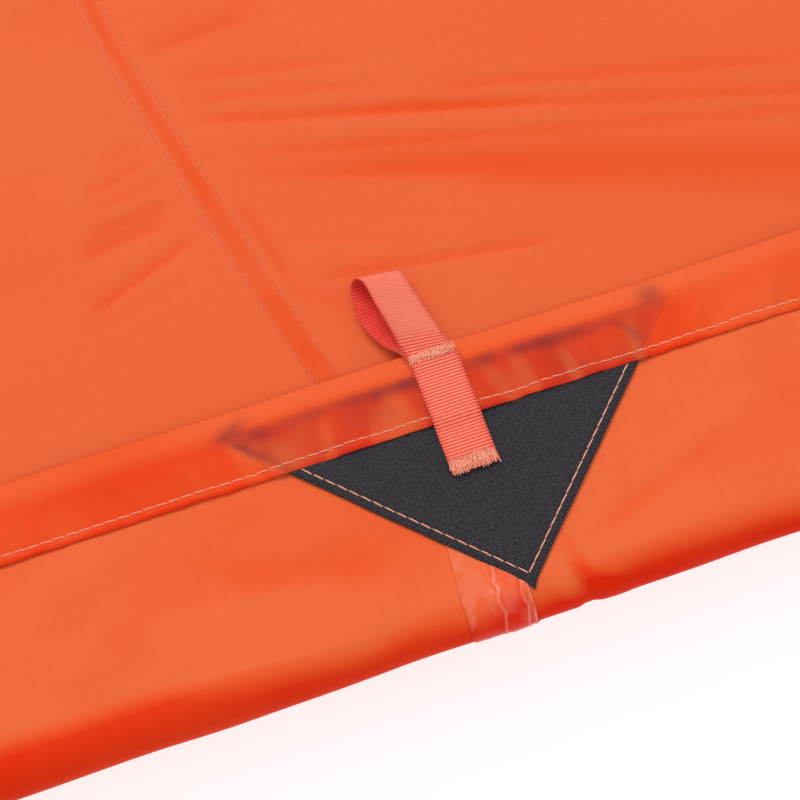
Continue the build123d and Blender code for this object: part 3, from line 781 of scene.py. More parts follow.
class BIVY_OT_panels(bpy.types.Operator):
    """The top panel and the bathtub panel, each one sheet with its part of the cuff"""

    bl_idname = "bivy.panels"
    bl_label = "Panels"

    def execute(self, context):
        sizes = context.scene.bivy_sizes
        points, uv, tone_and_shade, n_margin, n_share, runs = bag_cloth()
        cap = foot_cap(points[-1])
        points = np.concatenate([points, cap], 0)
        uv = np.concatenate([uv, uv[-1:] + np.stack(
            [np.zeros(len(cap)), 2.0 + 2.0 * np.arange(len(cap))], -1)[:, None]], 0)
        tone_and_shade = np.concatenate([tone_and_shade, np.repeat(tone_and_shade[-1:], len(cap), 0)])
        rows, cols = points.shape[:2]
        quads = grid_faces(rows, cols, wrap_cols=True)
        row = np.repeat(np.arange(rows - 1), cols)
        col = np.tile(np.arange(cols), rows - 1)
        seam_row = int(np.searchsorted(runs, run_of(FOOT_SEAM) - 0.5))
        between = (col >= n_margin) & (col < n_margin + n_share - 1) & (row < seam_row)
        cloth = material("coated_ripstop_nylon")
        thick = sizes.cloth_thickness * 1000
        top = make_piece("top_panel_cloth", points, quads[between], uv, {"tone_and_shade": tone_and_shade},
                         cloth, thick)
        tub = make_piece("tub_panel_cloth", points, quads[~between], uv, {"tone_and_shade": tone_and_shade},
                         cloth, thick)
        finish_piece(top, ["top_panel"])
        finish_piece(tub, ["tub_panel"])
        return {"FINISHED"}


# ---- hem -----------------------------------------------------------------------------
def fine_columns(half, fine, coarse):
    """x from shoulder to shoulder: fine across both mouth corners, coarse between them."""
    inner = 120.0 - graded(0.0, 120.0, fine, 1.15, coarse)[:0:-1]
    corner = np.arange(120.0, 402.0, fine)
    right = np.concatenate([inner, corner, [half]])
    return np.concatenate([-right[::-1], right[1:]])


def over_patch(x, down):
    """1 over the patches and a little beyond them, where the hem has to climb."""
    return smooth(2.2 * patch_cover(x, down, 10.0))


def hem_height(x, down):
    """Height of the hem's face over the cuff: soft and level, lower toward its edge, climbing
    over the patches, dented at the needle line."""
    tall = 0.60 + 0.45 * (1 - smooth((down - 11.0) / 8.0)) - 0.35 * np.exp(-(down / 2.5) ** 2)
    tall = tall + (1.22 - tall) * over_patch(x, down)
    lift = tall + 0.14 * noise(x, down, 19.0, 31) + 0.07 * noise(x, down, 6.5, 32)
    lift += ((0.40 + 0.45 * over_patch(x, down)) * hem_pucker(x, down)
             - 0.13 * np.exp(-((down - STITCH_IN) / 0.8) ** 2))
    return np.maximum(lift, 0.32 + 0.80 * over_patch(x, down))


def hem_shadow(x, down):
    """How dark the patch shows through the hem: faint over it, darker along its turned
    margins and darkest at its two folded corners."""
    axis = np.abs(x) - SEAM_MOUTH
    below = inside_slant(axis, down)
    over = smooth(0.5 + np.minimum(below, down - PATCH_IN) / 1.6)
    sway = down - 7.7 - 0.9 * noise(x, 0 * down, 21.0, 33) - 0.4 * noise(x, 0 * down, 8.0, 40)
    some = 0.66 + 0.34 * noise(x, 0 * down, 15.0, 36)
    margin = (np.exp(-(sway / 1.75) ** 2) * smooth((axis + 58.0) / 7.0)
              * smooth((46.0 - axis) / 6.0) * some)
    outer = axis - np.interp(down, [6.0, 10.0, 15.4, 20.0], [42.0, 47.0, 50.3, 48.0])
    edge = np.where(axis < 0, np.exp(-((below - 0.4) / 1.4) ** 2),
                    np.exp(-(outer / 1.7) ** 2)) * smooth((down - PATCH_IN - 0.5) / 3.0)
    tips = 1.35 * np.exp(-((axis - 57.0) / 3.1) ** 2 - ((down - 4.2) / 3.0) ** 2)
    tips += np.exp(-((axis + 58.0 + 0.8 * (down - 4.5)) / 3.6) ** 2 - ((down - 4.5) / 2.7) ** 2)
    mottle = 0.82 + 0.32 * noise(x, down, 6.0, 34) + 0.15 * noise(x, down * 0.4, 2.6, 41)
    return np.clip((0.30 * over + 0.46 * margin + 0.34 * edge + 0.58 * tips) * mottle, 0, 0.9)


def hem_painted_light(x, down):
    """Painted light on the hem: a painted highlight at the mouth edge, then the full red of
    three layers deepened by painted shade, with pale painted highlight streaks where it is
    gathered up, and a line of painted shade along its lower edge."""
    outer = smooth((np.abs(x) - 326.0) / 14.0)
    inner = smooth((208.0 - np.abs(x)) / 26.0)
    shade_depth = (0.20 + (1.25 - 0.45 * outer) * smooth((down - 1.0) / 8.0)
             + 0.2 * noise(x, down, 26.0, 37))
    shade_depth = shade_depth + 0.5 * inner * smooth((9.0 - down) / 8.0)
    fan = x + 0.5 * down * noise(x, 0 * down, 30.0, 42)
    highlight_streak = np.clip(noise(fan, 0.25 * down, 4.4, 38) + 0.1, 0, 1) * smooth((down - 5.0) / 8.0)
    shade_depth = shade_depth - (0.35 + 0.95 * over_patch(x, down)) * highlight_streak
    return np.clip(shade_depth + 0.5 * smooth((down - 18.6) / 0.8), 0.0, 1.8)


class BIVY_OT_hem(bpy.types.Operator):
    """The hem turned to the inside of the cloth round the mouth"""

    bl_idname = "bivy.hem"
    bl_label = "Hem"

    def execute(self, context):
        x = fine_columns(shoulder(0.0), 1.0, 9.0)[None, :]
        down = np.concatenate([[0.0, -0.55, -0.75, -0.5, 0.1], np.linspace(0.9, 19.5, 32),
                               [20.0, 20.2, 20.0, 19.2]])[:, None]
        part = np.concatenate([[0.1, 0.3, 0.55, 0.85, 1.0], np.ones(32), [0.8, 0.5, 0.2, 0.05]])
        edge = (0.16 * noise(x, 0 * x, 4.0, 35) + 0.14 * noise(x, 0 * x, 16.0, 39)) * smooth(
            (down - 14.0) / 6.0)
        ground = 0.12 + 0.88 * over_patch(x, down + 0 * x) * smooth(down / 3.0)
        lift = ground + (hem_height(x, down + 0 * x) - ground) * part[:, None]
        spot = np.maximum(down + edge, 0.0)
        lifted = lift + cuff_lift(x + 0 * down, spot + 0 * x)
        points = ring(x + 0 * down, (spot + 0 * x)[:, 0], 12, 60, 0.0, lifted)
        top_cols = x.shape[1]
        beyond = np.minimum(down + edge, 0.0)
        points[:, :top_cols] += beyond[..., None] * -CUFF_DIR
        points[:, :top_cols] -= (spot - spot[:, :1])[..., None] * CUFF_DIR
        level = (1.3 * part)[:, None]
        centre = points[:, top_cols:].copy()
        base = ring(x + 0 * down, (spot + 0 * x)[:, 0], 12, 60, 1.0, lifted)[:, top_cols:]
        points[:, top_cols:] = centre + (base - centre) * level[..., None]
        points[:, top_cols:, 1] += -beyond[:, :1]
        uv = np.stack(np.broadcast_arrays(
            np.concatenate([x[0], x[0, -1] + np.cumsum(np.linalg.norm(np.diff(
                points[5, top_cols - 1:], axis=0), axis=-1))])[None], down), -1)
        shadow, tone_and_shade = np.zeros(points.shape[:2]), np.ones(points.shape[:2])
        shadow[:, :top_cols] = hem_shadow(x + 0 * down, spot + 0 * x)
        # painted light on the hem's face: a highlight along the mouth edge, shade deepening its
        # layers, highlight streaks on the gathers and a shade line along the edge
        tone_and_shade[:, :top_cols] = hem_painted_light(x + 0 * down, spot + 0 * x)
        faces = grid_faces(*points.shape[:2], wrap_cols=True)[:, ::-1]
        piece = make_piece("mouth_hem_cloth", points, faces, uv,
                           {"shadow": shadow, "tone_and_shade": tone_and_shade},
                           material("coated_ripstop_nylon_hem"), 0.16)
        finish_piece(piece, ["mouth_hem"])
        return {"FINISHED"}


def on_cuff(x, down, lift):
    """Points at a height over the cuff's face, down from the mouth edge."""
    x, down, lift = np.broadcast_arrays(np.asarray(x, float), np.asarray(down, float),
                                        np.asarray(lift, float))
    bump = cuff_lift(x, np.maximum(down, 0)) + lift
    base = top_points(x, np.maximum(down, 0.0), 0.0, bump)
    return base + np.minimum(down, 0.0)[..., None] * -CUFF_DIR


def on_hem(x, down, lift):
    """Points at a height over the hem's face."""
    x, down = np.broadcast_arrays(np.asarray(x, float), np.asarray(down, float))
    return on_cuff(x, down, hem_height(x, down) + lift)


def on_bag(x, back, lift):
    """Points at a height over the bag's top outside face."""
    x, back, lift = np.broadcast_arrays(np.asarray(x, float), np.asarray(back, float),
                                        np.asarray(lift, float))
    run = run_of(back)
    bump = top_lift(x, run) - lift
    return top_points(x, run, -CLOTH, bump)


class BIVY_OT_hem_stitches(bpy.types.Operator):
    """The single row of topstitching along the hem's lower edge, stitch by stitch"""

    bl_idname = "bivy.hem_stitches"
    bl_label = "Hem topstitch"

    def execute(self, context):
        pitch = context.scene.bivy_sizes.stitch_pitch * 1000
        edge = shoulder(STITCH_IN)
        x = np.arange(-edge + 2.0, edge - 2.0, pitch)
        sway = 0.18 * noise(x, 0 * x, 9.0, 51)
        down = STITCH_IN + sway
        a = on_hem(x, down - 0.09, 0.06)
        b = on_hem(x + 0.93 * pitch, down + 0.11, 0.06)
        along_top = threads(a, b, CUFF_NORMAL, 0.165, 0.14)
        ringed = ring(np.linspace(-edge, edge, 3)[None, :], np.array([STITCH_IN]), 40, 160, 1.55,
                      np.zeros((1, 3)))[0][3:]
        gap = np.cumsum(np.linalg.norm(np.diff(ringed, axis=0), axis=-1))
        spots = np.arange(4.0, gap[-1] - 4.0, pitch)
        gap = np.concatenate([[0.0], gap])
        at = lambda d: np.stack([np.interp(d, gap, ringed[:, k]) for k in range(3)], -1)
        middle = ringed.mean(0)
        outer = at(spots) - middle
        outer[:, 1] = 0
        outer[:, 0] *= 0.2
        beneath = threads(at(spots), at(spots + 0.93 * pitch), outer, 0.19, 0.05, 6, 4)
        beneath[0][:, 2] = np.maximum(beneath[0][:, 2], 0.02)
        piece = make_piece("hem_topstitch_threads", *joined([along_top, beneath]), None, None,
                           material("spun_polyester_thread"))
        finish_piece(piece, ["hem_topstitch"])
        return {"FINISHED"}


# ---- side seams, foot seam, tape -----------------------------------------------------
class BIVY_OT_seams(bpy.types.Operator):
    """The felled side and foot seams with their two needle lines and the tape inside"""

    bl_idname = "bivy.seams"
    bl_label = "Seams and tape"

    def execute(self, context):
        pitch = context.scene.bivy_sizes.stitch_pitch * 1000
        cloth = material("coated_ripstop_nylon")
        thread = material("spun_polyester_seam_thread")
        tape = material("polyurethane_seam_tape")
        for side, word in ((-1, "left"), (1, "right")):
            back = np.concatenate([np.linspace(30, 250, 120),
                                   graded(252, FOOT_SEAM + 4, 2.0, 1.05, 9.0)])
            t = np.linspace(-1, 1, 15)
            profile = 0.60 * smooth((1 - np.abs(t)) / 0.75) - 0.28
            gather = 0.12 * noise(back, 0 * back, 4.0, 61)
            x = side * seam_at(back)[:, None] + side * 5.0 * t[None, :]
            pts = on_bag(x, back[:, None], profile[None, :] * (1 + gather[:, None]) + 0.05)
            uv = np.stack(np.broadcast_arrays(x, back[:, None]), -1)
            faces = grid_faces(*pts.shape[:2])
            # the fell's colour: 0.4 of the bag's painted crease shade, with a deeper band along its
            # middle
            tone_and_shade = bag_painted_shade(x, back[:, None] + 0 * x)
            narrow = np.interp(back, [72.0, 105.0, 135.0, 165.0], [3.0, 2.6, 2.1, 1.6])[:, None]
            inside = smooth(0.5 + (narrow - np.abs(5.0 * t[None, :])) / 2.4)
            tone_and_shade = 0.4 * tone_and_shade + (0.78 + 0.3 * noise(x, back[:, None] + 0 * x, 9.0, 64)) * inside
            piece = make_piece("seam_fell_%s_cloth" % word, pts, faces, uv, {"tone_and_shade": tone_and_shade},
                               cloth, 0.1)
            finish_piece(piece, ["seam_fell_" + word])
            spots = np.arange(32.0, FOOT_SEAM + 2.0, pitch)
            rows, ends = [], spots + 0.95 * pitch
            for row in (-NEEDLE_GAUGE / 2, NEEDLE_GAUGE / 2):
                a = on_bag(side * seam_at(spots) + row, spots, 0.10)
                b = on_bag(side * seam_at(ends) + row, ends, 0.10)
                rows.append(threads(a, b, (0, 0, 1), 0.14, 0.08, 6, 4))
            piece = make_piece("seam_stitching_%s_threads" % word, *joined(rows), None, None,
                               thread)
            finish_piece(piece, ["seam_stitching_" + word])
            self.tape(side, word, tape)
        self.foot(pitch, cloth, thread, tape)
        return {"FINISHED"}

    def tape(self, side, word, look):
        """One strip: on the cuff's face, round the roll and along under the bag's top."""
        rows = bag_grid()[2]
        runs = np.concatenate([
            np.linspace(4.0, 48.0, 20)[:-1], np.linspace(48.0, CUFF_RUN, 48)[:-1],
            CUFF_RUN + ROLL_LENGTH * np.linspace(0, 1, 17)[:-1],
            rows[(rows >= CUFF_RUN + ROLL_LENGTH) & (rows < run_of(FOOT_SEAM - 12.0))]])
        t = np.linspace(-1, 1, 71)
        seam = seam_x(runs)[:, None]
        across = TAPE_SHIFT + TAPE_WIDTH / 2 * t[None, :]
        x = side * (seam + across)
        needle = np.exp(-((np.abs(across) - NEEDLE_GAUGE / 2) / 0.55) ** 2)
        ridge = 0.30 * smooth((4.7 - np.abs(across)) / 0.9)
        rough = (0.07 * noise(x, runs[:, None] + 0 * x, 3.1, 62)
                 + 0.10 * noise(x, runs[:, None] + 0 * x, 9.0, 63))
        lift = 0.16 + ridge - 0.22 * needle + rough
        lift[:, 0] = lift[:, -1] = 0.04
        jag = 0.4 * noise(0 * x, runs[:, None] + 0 * x, 2.2, 65)
        line = np.exp(-((np.abs(across + jag) - NEEDLE_GAUGE / 2 + 0.2) / 0.24) ** 2)
        line += 0.8 * np.exp(
            -((across - TAPE_WIDTH / 2 - TAPE_SHIFT + 0.3 + 0.4 * jag) / 0.24) ** 2)
        line += 0.5 * np.exp(-((across - 4.1 - 1.5 * jag) / 0.2) ** 2)
        line *= 0.65 + 0.5 * noise(x, runs[:, None] + 0 * x, 4.0, 66)
        # painted shade in the colour: the cuff's, deeper over the fell's middle, and a painted red
        # at the fold
        tone_and_shade = cuff_painted_shade(x, runs[:, None] + 0 * x)
        tone_and_shade += (0.75 * smooth((4.2 - np.abs(across)) / 1.4)
                 + 0.25 * noise(x, runs[:, None] + 0 * x, 4.0, 67))
        tone_and_shade += 0.55 * smooth((runs - CUFF_RUN + 9.0) / 6.0)[:, None] - 0.25
        lift = lift + 0.6 * smooth((runs - CUFF_RUN - ROLL_LENGTH) / 10.0)[:, None]
        bump = top_lift(x, runs[:, None]) + lift
        pts = top_points(x, runs[:, None], 0.0, bump)
        uv = np.stack(np.broadcast_arrays(x, runs[:, None]), -1)
        piece = make_piece("seam_tape_%s_film" % word, pts, grid_faces(*pts.shape[:2])[:, ::-1], uv,
                           {"line": np.clip(line, 0, 1), "tone_and_shade": tone_and_shade}, look, 0.08)
        finish_piece(piece, ["seam_tape_" + word])

    def foot(self, pitch, cloth, thread, tape):
        """The seam across the foot, built like the side seams."""
        half = float(seam_at(FOOT_SEAM)) - 4.8
        x = np.linspace(-half, half, 60)[None, :]
        t = np.linspace(-1, 1, 11)[:, None]
        profile = 0.34 * (1 - t ** 8) - 0.2 * np.exp(-((np.abs(t) - 0.72) / 0.12) ** 2)
        profile[0] = profile[-1] = 0.0
        pts = on_bag(x + 0 * t, FOOT_SEAM + 4.5 * t + 0 * x, profile + 0.05)
        uv = np.stack(np.broadcast_arrays(x, FOOT_SEAM + 4.5 * t), -1)
        tone_and_shade = np.full(pts.shape[:2], 0.8)
        piece = make_piece("foot_fell_cloth", pts, grid_faces(*pts.shape[:2]), uv, {"tone_and_shade": tone_and_shade},
                           cloth, 0.1)
        finish_piece(piece, ["foot_fell"])
        spots = np.arange(-half + 1, half - 3, pitch)
        rows = []
        for row in (-NEEDLE_GAUGE / 2, NEEDLE_GAUGE / 2):
            a = on_bag(spots, FOOT_SEAM + row, 0.34)
            b = on_bag(spots + 0.74 * pitch, FOOT_SEAM + row, 0.34)
            rows.append(threads(a, b, (0, 0, 1), 0.2, 0.12, 6, 4))
        piece = make_piece("foot_stitching_threads", *joined(rows), None, None, thread)
        finish_piece(piece, ["foot_stitching"])
        runs = run_of(FOOT_SEAM + np.linspace(-9, 9, 9))[:, None]
        x = np.linspace(-half - 12, half + 12, 60)[None, :]
        bump = top_lift(x + 0 * runs, runs + 0 * x) + 0.25
        pts = top_points(x + 0 * runs, runs + 0 * x, 0.0, bump)
        uv = np.stack(np.broadcast_arrays(x, runs), -1)
        plain = {"line": np.zeros(pts.shape[:2]), "tone_and_shade": np.full(pts.shape[:2], 0.5)}
        piece = make_piece("foot_seam_tape_film", pts, grid_faces(*pts.shape[:2])[:, ::-1], uv,
                           plain, tape, 0.08)
        finish_piece(piece, ["foot_seam_tape"])


# ---- corner patches ------------------------------------------------------------------
def patch_height(axis, down):
    """Height of the patch's face over the cuff: thicker on its turned-under margin, rounded
    to nothing at its edges and dented along its stitching."""
    below = inside_slant(axis, down)
    inside = np.maximum(np.minimum(below, down - PATCH_IN + 1.0), 0.0)
    lift = 0.25 + 0.62 * np.sqrt(np.clip(inside / 0.9, 0, 1))
    lift -= 0.20 * smooth((inside - 6.0) / 1.6)
    lift -= 0.16 * np.exp(-((below - 2.3) / 0.55) ** 2)
    return lift + 0.06 * noise(axis, down, 7.0, 71) + 0.10 * noise(axis, down, 21.0, 72)


class BIVY_OT_patches(bpy.types.Operator):
    """The two triangular corner patches tucked under the hem, and their stitching"""

    bl_idname = "bivy.patches"
    bl_label = "Corner patches"

    def execute(self, context):
        pitch = context.scene.bivy_sizes.stitch_pitch * 1000
        slope = PATCH_SLOPE
        for side, word in ((-1, "left"), (1, "right")):
            down = np.concatenate([[PATCH_IN], np.linspace(PATCH_IN + 0.3, PATCH_TIP - 3.0, 62),
                                   PATCH_TIP - np.array([2.2, 1.4, 0.8, 0.35, 0.1, 0.0])])
            width = (PATCH_TIP - down) / slope
            tip = 0.9
            width = np.sqrt(width ** 2 + 0.2 * tip) - 0.18 * tip
            t = np.linspace(-1, 1, 90)
            t = np.sign(t) * (1 - (1 - np.abs(t)) ** 1.35)
            axis = width[:, None] * t[None, :]
            waver = 0.12 * noise(axis, down[:, None] + 0 * axis, 8.0, 73)
            pts = on_cuff(side * SEAM_MOUTH + axis,
                          down[:, None] + waver, patch_height(axis, down[:, None]))
            uv = np.stack(np.broadcast_arrays(axis, down[:, None]), -1)
            piece = make_piece("corner_patch_%s_cloth" % word, pts,
                               grid_faces(*pts.shape[:2])[:, ::-1], uv, None,
                               material("woven_charcoal_nylon"), 0.3)
            finish_piece(piece, ["corner_patch_" + word])
            inset = 2.3 * math.hypot(1, slope)
            tip_down = PATCH_TIP - inset
            length = (tip_down - HEM_DEPTH + 0.5) * math.hypot(1, 1 / slope)
            spots = np.arange(0.2, length - 1.0, pitch)
            unit = 1 / math.hypot(1, 1 / slope)
            rows = []
            for lean in (-1, 1):
                d0, d1 = tip_down - spots * unit, tip_down - (spots + 0.92 * pitch) * unit
                a0, a1 = lean * spots * unit / slope, lean * (spots + 0.92 * pitch) * unit / slope
                start = on_cuff(side * SEAM_MOUTH + a0 - 0.1, d0, patch_height(a0, d0) + 0.1)
                end = on_cuff(side * SEAM_MOUTH + a1 + 0.1, d1, patch_height(a1, d1) + 0.1)
                rows.append(threads(start, end, CUFF_NORMAL, 0.2, 0.14))
            piece = make_piece("patch_stitching_%s_threads" % word, *joined(rows), None, None,
                               material("spun_polyester_thread"))
            finish_piece(piece, ["patch_stitching_" + word])
        return {"FINISHED"}


# ---- ribbon loops and bar tacks ------------------------------------------------------
LOOP_PATH = (
    # across from the patch's axis, out from the mouth edge, height over the cuff's plane,
    # degrees the ribbon's width is turned and degrees its right edge is tipped down
    (-2.6, -4.5, 2.75, 0, 0), (-3.0, -1.5, 2.95, -2, 2), (-4.1, 2.0, 4.3, -3, 7),
    (-5.4, 7.0, 6.2, -3, 15), (-7.1, 14.2, 7.9, -1, 21), (-8.0, 19.0, 8.6, -1, 22),
    (-8.9, 21.6, 7.9, 0, 17), (-9.8, 22.4, 6.3, 0, 9), (-10.4, 21.6, 4.7, 0, 4),
    (-10.8, 18.8, 3.6, 1, 2), (-10.9, 14.8, 3.0, 4, 0), (-10.3, 10.8, 2.6, 9, 0),
    (-7.6, 6.0, 2.2, 13, 0), (-4.3, 2.2, 2.2, 8, 0), (-3.2, -1.2, 2.4, 1, 0),
    (-2.6, -4.5, 2.2, 0, 0),
)


def curve_through(points, step):
    """Evenly spaced points on the Catmull-Rom curve through the given ones."""
    pts = np.asarray(points, float)
    ends = np.concatenate([2 * pts[:1] - pts[1:2], pts, 2 * pts[-1:] - pts[-2:-1]])
    t = np.linspace(0, 1, 24, endpoint=False)[:, None, None]
    a, b, c, d = ends[:-3], ends[1:-2], ends[2:-1], ends[3:]
    spans = 0.5 * (2 * b + (c - a) * t + (2 * a - 5 * b + 4 * c - d) * t ** 2
                   + (3 * b - a - 3 * c + d) * t ** 3)
    dense = np.concatenate([spans.transpose(1, 0, 2).reshape(-1, pts.shape[1]), pts[-1:]])
    run = np.concatenate([[0], np.cumsum(np.linalg.norm(np.diff(dense[:, :3], axis=0), axis=1))])
    spots = np.arange(0, run[-1], step)
    return np.stack([np.interp(spots, run, dense[:, k]) for k in range(dense.shape[1])], -1)


def leg_height(down):
    """Height of the sewn leg's middle over the cuff: on the hem, then down onto the patch."""
    return 1.05 + 0.95 * smooth((HEM_DEPTH + 3.2 - down) / 3.6)


class BIVY_OT_loops(bpy.types.Operator):
    """The grosgrain hang loops: one folded ribbon each, sewn leg and free loop together"""

    bl_idname = "bivy.loops"
    bl_label = "Hang loops"

    def execute(self, context):
        sizes = context.scene.bivy_sizes
        rib = sizes.rib_pitch * 1000
        for side, word in ((-1, "left"), (1, "right")):
            self.ribbon(side, word, rib)
            self.tacks(side, word)
        return {"FINISHED"}

    def ribbon(self, side, word, rib):
        """A flat closed band along the ribbon's path, with a crest at every cross rib."""
        down = np.linspace(LEG_LENGTH, 5.2, 60)
        axis = np.full_like(down, RIBBON_SHIFT + 0.2)
        leg = lambda lift: np.stack([axis, -down, leg_height(down) + lift, 0 * down, 0 * down], -1)
        path = np.concatenate([leg(0.52), np.array(LOOP_PATH, float), leg(0.02)[::-1]])
        path = curve_through(path, 0.15)
        run = np.arange(len(path)) * 0.15
        yaw, roll = np.radians(path[:, 3]), np.radians(path[:, 4])
        path = path[:, :3]
        wide = np.stack([np.cos(yaw) * np.cos(roll), np.sin(yaw) * np.cos(roll), -np.sin(roll)], -1)
        along = np.gradient(path, axis=0)
        along /= np.linalg.norm(along, axis=1, keepdims=True)
        up = np.cross(wide, along)
        up /= np.linalg.norm(up, axis=1, keepdims=True)
        crest = smooth(0.62 + 0.62 * np.cos(2 * math.pi * run / rib))
        t = np.concatenate([np.linspace(-1, 1, 13), np.linspace(1, -1, 13)])
        face = np.concatenate([np.ones(13), -np.ones(13)])
        free = smooth((path[:, 1] - 1.5) / 4.0)
        relief = 0.11 * (1 - 0.75 * free)
        thick = (0.18 + relief * crest)[:, None] * face[None, :]
        thick *= (1 - 0.55 * np.abs(t)[None, :] ** 12)
        half = RIBBON / 2 + 0.13 * crest + 0.07 * noise(run, 0 * run, 4.0, 81)
        cross = half[:, None] * t[None, :]
        local = path[:, None] + wide[:, None] * cross[..., None] + up[:, None] * thick[..., None]
        x = side * (SEAM_MOUTH + local[..., 0])
        ground = cuff_lift(x, np.maximum(-local[..., 1], 0.0)) * smooth((2.0 - local[..., 1]) / 4.0)
        origin = np.array([0.0, EDGE_Y, EDGE_TOP])
        pts = (origin + np.stack([x, 0 * x, 0 * x], -1) + local[..., 1:2] * CUFF_DIR
               + (local[..., 2] + ground)[..., None] * CUFF_NORMAL)
        faces = grid_faces(*pts.shape[:2], wrap_cols=True)
        first = np.arange(26)
        last = (len(path) - 1) * 26
        caps = [[first[k], first[k + 1], first[24 - k], first[25 - k]] for k in range(12)]
        caps += [[last + 25 - k, last + 24 - k, last + k + 1, last + k] for k in range(12)]
        faces = np.concatenate([faces, np.array(caps)])
        if side > 0:
            faces = faces[:, ::-1]
        # painted light for the colour: lighter rib crests and shaded gaps on the sewn leg, painted
        # shade along the edges and on the loop's inner face under its upper strand
        inside = (face[None, :] < 0) * free[:, None]
        level = (crest[:, None] * (1 - free)[:, None]
                 + (0.62 + 0.16 * crest[:, None]) * free[:, None])
        level = level - 0.35 * np.abs(t)[None, :] ** 10
        level = level * (1 - inside) + inside * (-0.1 + 0.34 * crest[:, None] ** 4)
        uv = np.stack(np.broadcast_arrays(cross, run[:, None]), -1)
        piece = make_piece("ribbon_loop_%s" % word, pts, faces, uv, {"crest": level},
                           material("polyester_grosgrain"))
        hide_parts("loop_leg_" + word, "hang_loop_" + word)
        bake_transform(piece)

    def tacks(self, side, word):
        """Dense zigzag stitches across the ribbon at the mouth edge and at its lower end."""
        for name, near, far, count, seed in (
                ("edge", 0.4, 3.2, 46, 91), ("end", 30.6, 34.0, 44, 92)):
            rng = np.random.default_rng(seed)
            axis = RIBBON_SHIFT + np.linspace(-6.0, 6.0, count) + rng.uniform(-0.12, 0.12, count)
            lean = np.where(np.arange(count) % 2, 0.30, -0.30) + rng.uniform(-0.15, 0.15, count)
            height = np.full(count, 3.22 if name == "edge" else 1.98)
            a_down = near + rng.uniform(-0.35, 0.6, count)
            b_down = far + rng.uniform(-0.8, 0.45 if name == "edge" else 1.5, count)
            a = on_cuff(side * SEAM_MOUTH + side * (axis - lean), a_down, height)
            b = on_cuff(side * SEAM_MOUTH + side * (axis + lean), b_down, height)
            zigzag = threads(a, b, CUFF_NORMAL, 0.17, 0.16)
            start = RIBBON_SHIFT + rng.uniform(-6.1, 3.0, 26)
            reach = rng.uniform(0.8, 2.6, 26)
            bars = rng.uniform(near + 0.1, far, 26)
            left = on_cuff(side * SEAM_MOUTH + side * start, bars, height[0] + 0.02)
            right = on_cuff(side * SEAM_MOUTH + side * (start + reach),
                            bars + rng.uniform(-0.3, 0.3, 26), height[0] + 0.02)
            cross = threads(left, right, CUFF_NORMAL, 0.15, 0.18)
            piece = make_piece("%s_bar_tack_%s_threads" % (name, word), *joined([zigzag, cross]),
                               None, None, material("spun_polyester_tack_thread"))
            finish_piece(piece, ["%s_bar_tack_%s" % (name, word)])


# ---- stage ---------------------------------------------------------------------------
class BIVY_OT_stage(bpy.types.Operator):
    """A pale floor, soft studio light and the camera over the right mouth corner"""

    bl_idname = "bivy.stage"
    bl_label = "Stage"

    def execute(self, context):
        scene = context.scene
        # the floor glows a little, so that its shadows stay as pale as a lit sweep's
        made, _, _ = new_material("pale_studio_floor", {
            "Base Color": (0.6, 0.6, 0.6, 1.0), "Roughness": 0.9, "Specular IOR Level": 0.0,
            "Emission Color": (1.0, 1.0, 1.0, 1.0), "Emission Strength": 0.62})
        size = 12.0
        mesh = bpy.data.meshes.new("studio_floor")
        mesh.from_pydata([(-size, -size, -0.0004), (size, -size, -0.0004), (size, size, -0.0004),
                          (-size, size, -0.0004)], [], [(0, 1, 2, 3)])
        mesh.materials.append(made)
        floor = bpy.data.objects.new("studio_floor", mesh)
        scene.collection.objects.link(floor)
        world = bpy.data.worlds.new("studio")
        scene.world = world
        world.use_nodes = True
        world.node_tree.nodes["Background"].inputs[0].default_value = (1.0, 1.0, 1.0, 1.0)
        world.node_tree.nodes["Background"].inputs[1].default_value = 0.62
        corner = np.array([SEAM_MOUTH, EDGE_Y, EDGE_TOP]) * MM
        for name, place, target, wide, power in (
                ("key_light", (-0.7, 2.1, 1.9), (0.0, 0.2, 0.0), 1.5, 42.0),
                ("fill_light", (0.9, -0.6, 2.6), (0.0, 0.0, 0.0), 2.4, 16.0)):
            lamp = bpy.data.lights.new(name, "AREA")
            lamp.energy, lamp.size = power, wide
            light = bpy.data.objects.new(name, lamp)
            scene.collection.objects.link(light)
            light.location = corner + np.array(place)
            aim = corner + np.array(target) - np.array(light.location)
            light.rotation_mode = "QUATERNION"
            light.rotation_quaternion = Vector(aim).to_track_quat("-Z", "Y")
        self.camera(scene)
        scene.view_settings.view_transform = "Standard"
        return {"FINISHED"}

    def camera(self, scene):
        """Over the mouth's right corner, steep above the cuff and turned to the right."""
        turn, tilt, reach = math.radians(19.41), math.radians(66.0), 484.98
        axes = np.stack([np.array([1.0, 0, 0]), CUFF_DIR, CUFF_NORMAL])
        ahead = np.array([math.sin(turn) * math.cos(tilt), math.cos(turn) * math.cos(tilt),
                          -math.sin(tilt)])
        right = np.array([math.cos(turn), -math.sin(turn), 0.0])
        up = np.cross(right, ahead)
        spot = np.array([-14.33, -10.16, 0.0]) - ahead * reach
        origin = np.array([SEAM_MOUTH, EDGE_Y, EDGE_TOP])
        place = (origin + spot @ axes) * MM
        data = bpy.data.cameras.new("camera")
        data.sensor_width = 36.0
        data.lens = 36.0 * 1900 / 800
        data.clip_start = 0.02
        data.clip_end = 50.0
        camera = bpy.data.objects.new("camera", data)
        scene.collection.objects.link(camera)
        matrix = np.eye(4)
        matrix[:3, 0], matrix[:3, 1], matrix[:3, 2] = right @ axes, up @ axes, -ahead @ axes
        matrix[:3, 3] = place
        camera.matrix_world = Matrix(matrix.tolist())
        scene.camera = camera


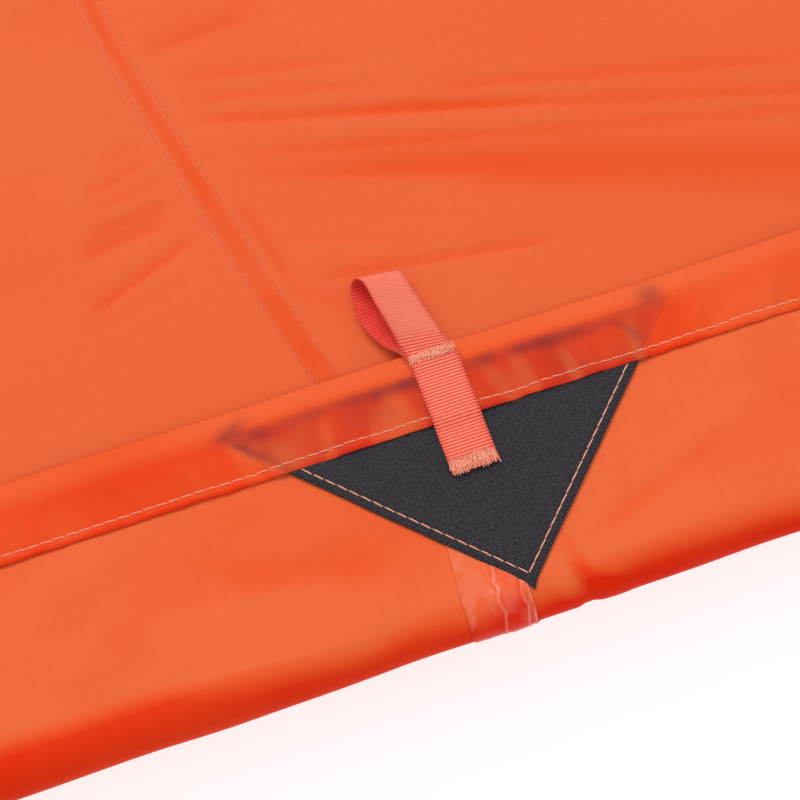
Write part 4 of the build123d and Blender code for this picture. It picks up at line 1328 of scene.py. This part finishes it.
# ---- the add-on ----------------------------------------------------------------------
class BivySizes(bpy.types.PropertyGroup):
    """Sizes that a user would change"""

    cloth_thickness: bpy.props.FloatProperty(
        name="Cloth thickness", description="Thickness of the panel cloth",
        default=0.00025, min=0.0001, max=0.0005, unit="LENGTH", subtype="DISTANCE")
    ripstop_pitch: bpy.props.FloatProperty(
        name="Ripstop pitch", description="Spacing of the reinforcing threads",
        default=0.005, min=0.002, max=0.012, unit="LENGTH", subtype="DISTANCE")
    stitch_pitch: bpy.props.FloatProperty(
        name="Stitch pitch", description="Length from one needle hole to the next",
        default=0.0033, min=0.002, max=0.006, unit="LENGTH", subtype="DISTANCE")
    rib_pitch: bpy.props.FloatProperty(
        name="Rib pitch", description="Spacing of the ribbon's cross ribs",
        default=0.00088, min=0.0006, max=0.002, unit="LENGTH", subtype="DISTANCE")


class BIVY_PT_panel(bpy.types.Panel):
    """Lists the bivy sack's pieces and sizes"""

    bl_idname = "BIVY_PT_panel"
    bl_label = "Bivy Sack"
    bl_space_type = "VIEW_3D"
    bl_region_type = "UI"
    bl_category = "Bivy Sack"

    def draw(self, context):
        sizes = context.scene.bivy_sizes
        for key in ("cloth_thickness", "ripstop_pitch", "stitch_pitch", "rib_pitch"):
            self.layout.prop(sizes, key)
        for operator in OPERATORS:
            self.layout.operator(operator.bl_idname)


OPERATORS = (BIVY_OT_panels, BIVY_OT_hem, BIVY_OT_hem_stitches, BIVY_OT_seams, BIVY_OT_patches,
             BIVY_OT_loops, BIVY_OT_stage)
CLASSES = (BivySizes, *OPERATORS, BIVY_PT_panel)


def register():
    for item in CLASSES:
        bpy.utils.register_class(item)
    bpy.types.Scene.bivy_sizes = bpy.props.PointerProperty(type=BivySizes)


def unregister():
    del bpy.types.Scene.bivy_sizes
    for item in reversed(CLASSES):
        bpy.utils.unregister_class(item)


def main():
    """Builds every piece and the stage."""
    register()
    for operator in OPERATORS:
        group, name = operator.bl_idname.split(".")
        getattr(getattr(bpy.ops, group), name)()


if __name__ == "__main__":
    main()
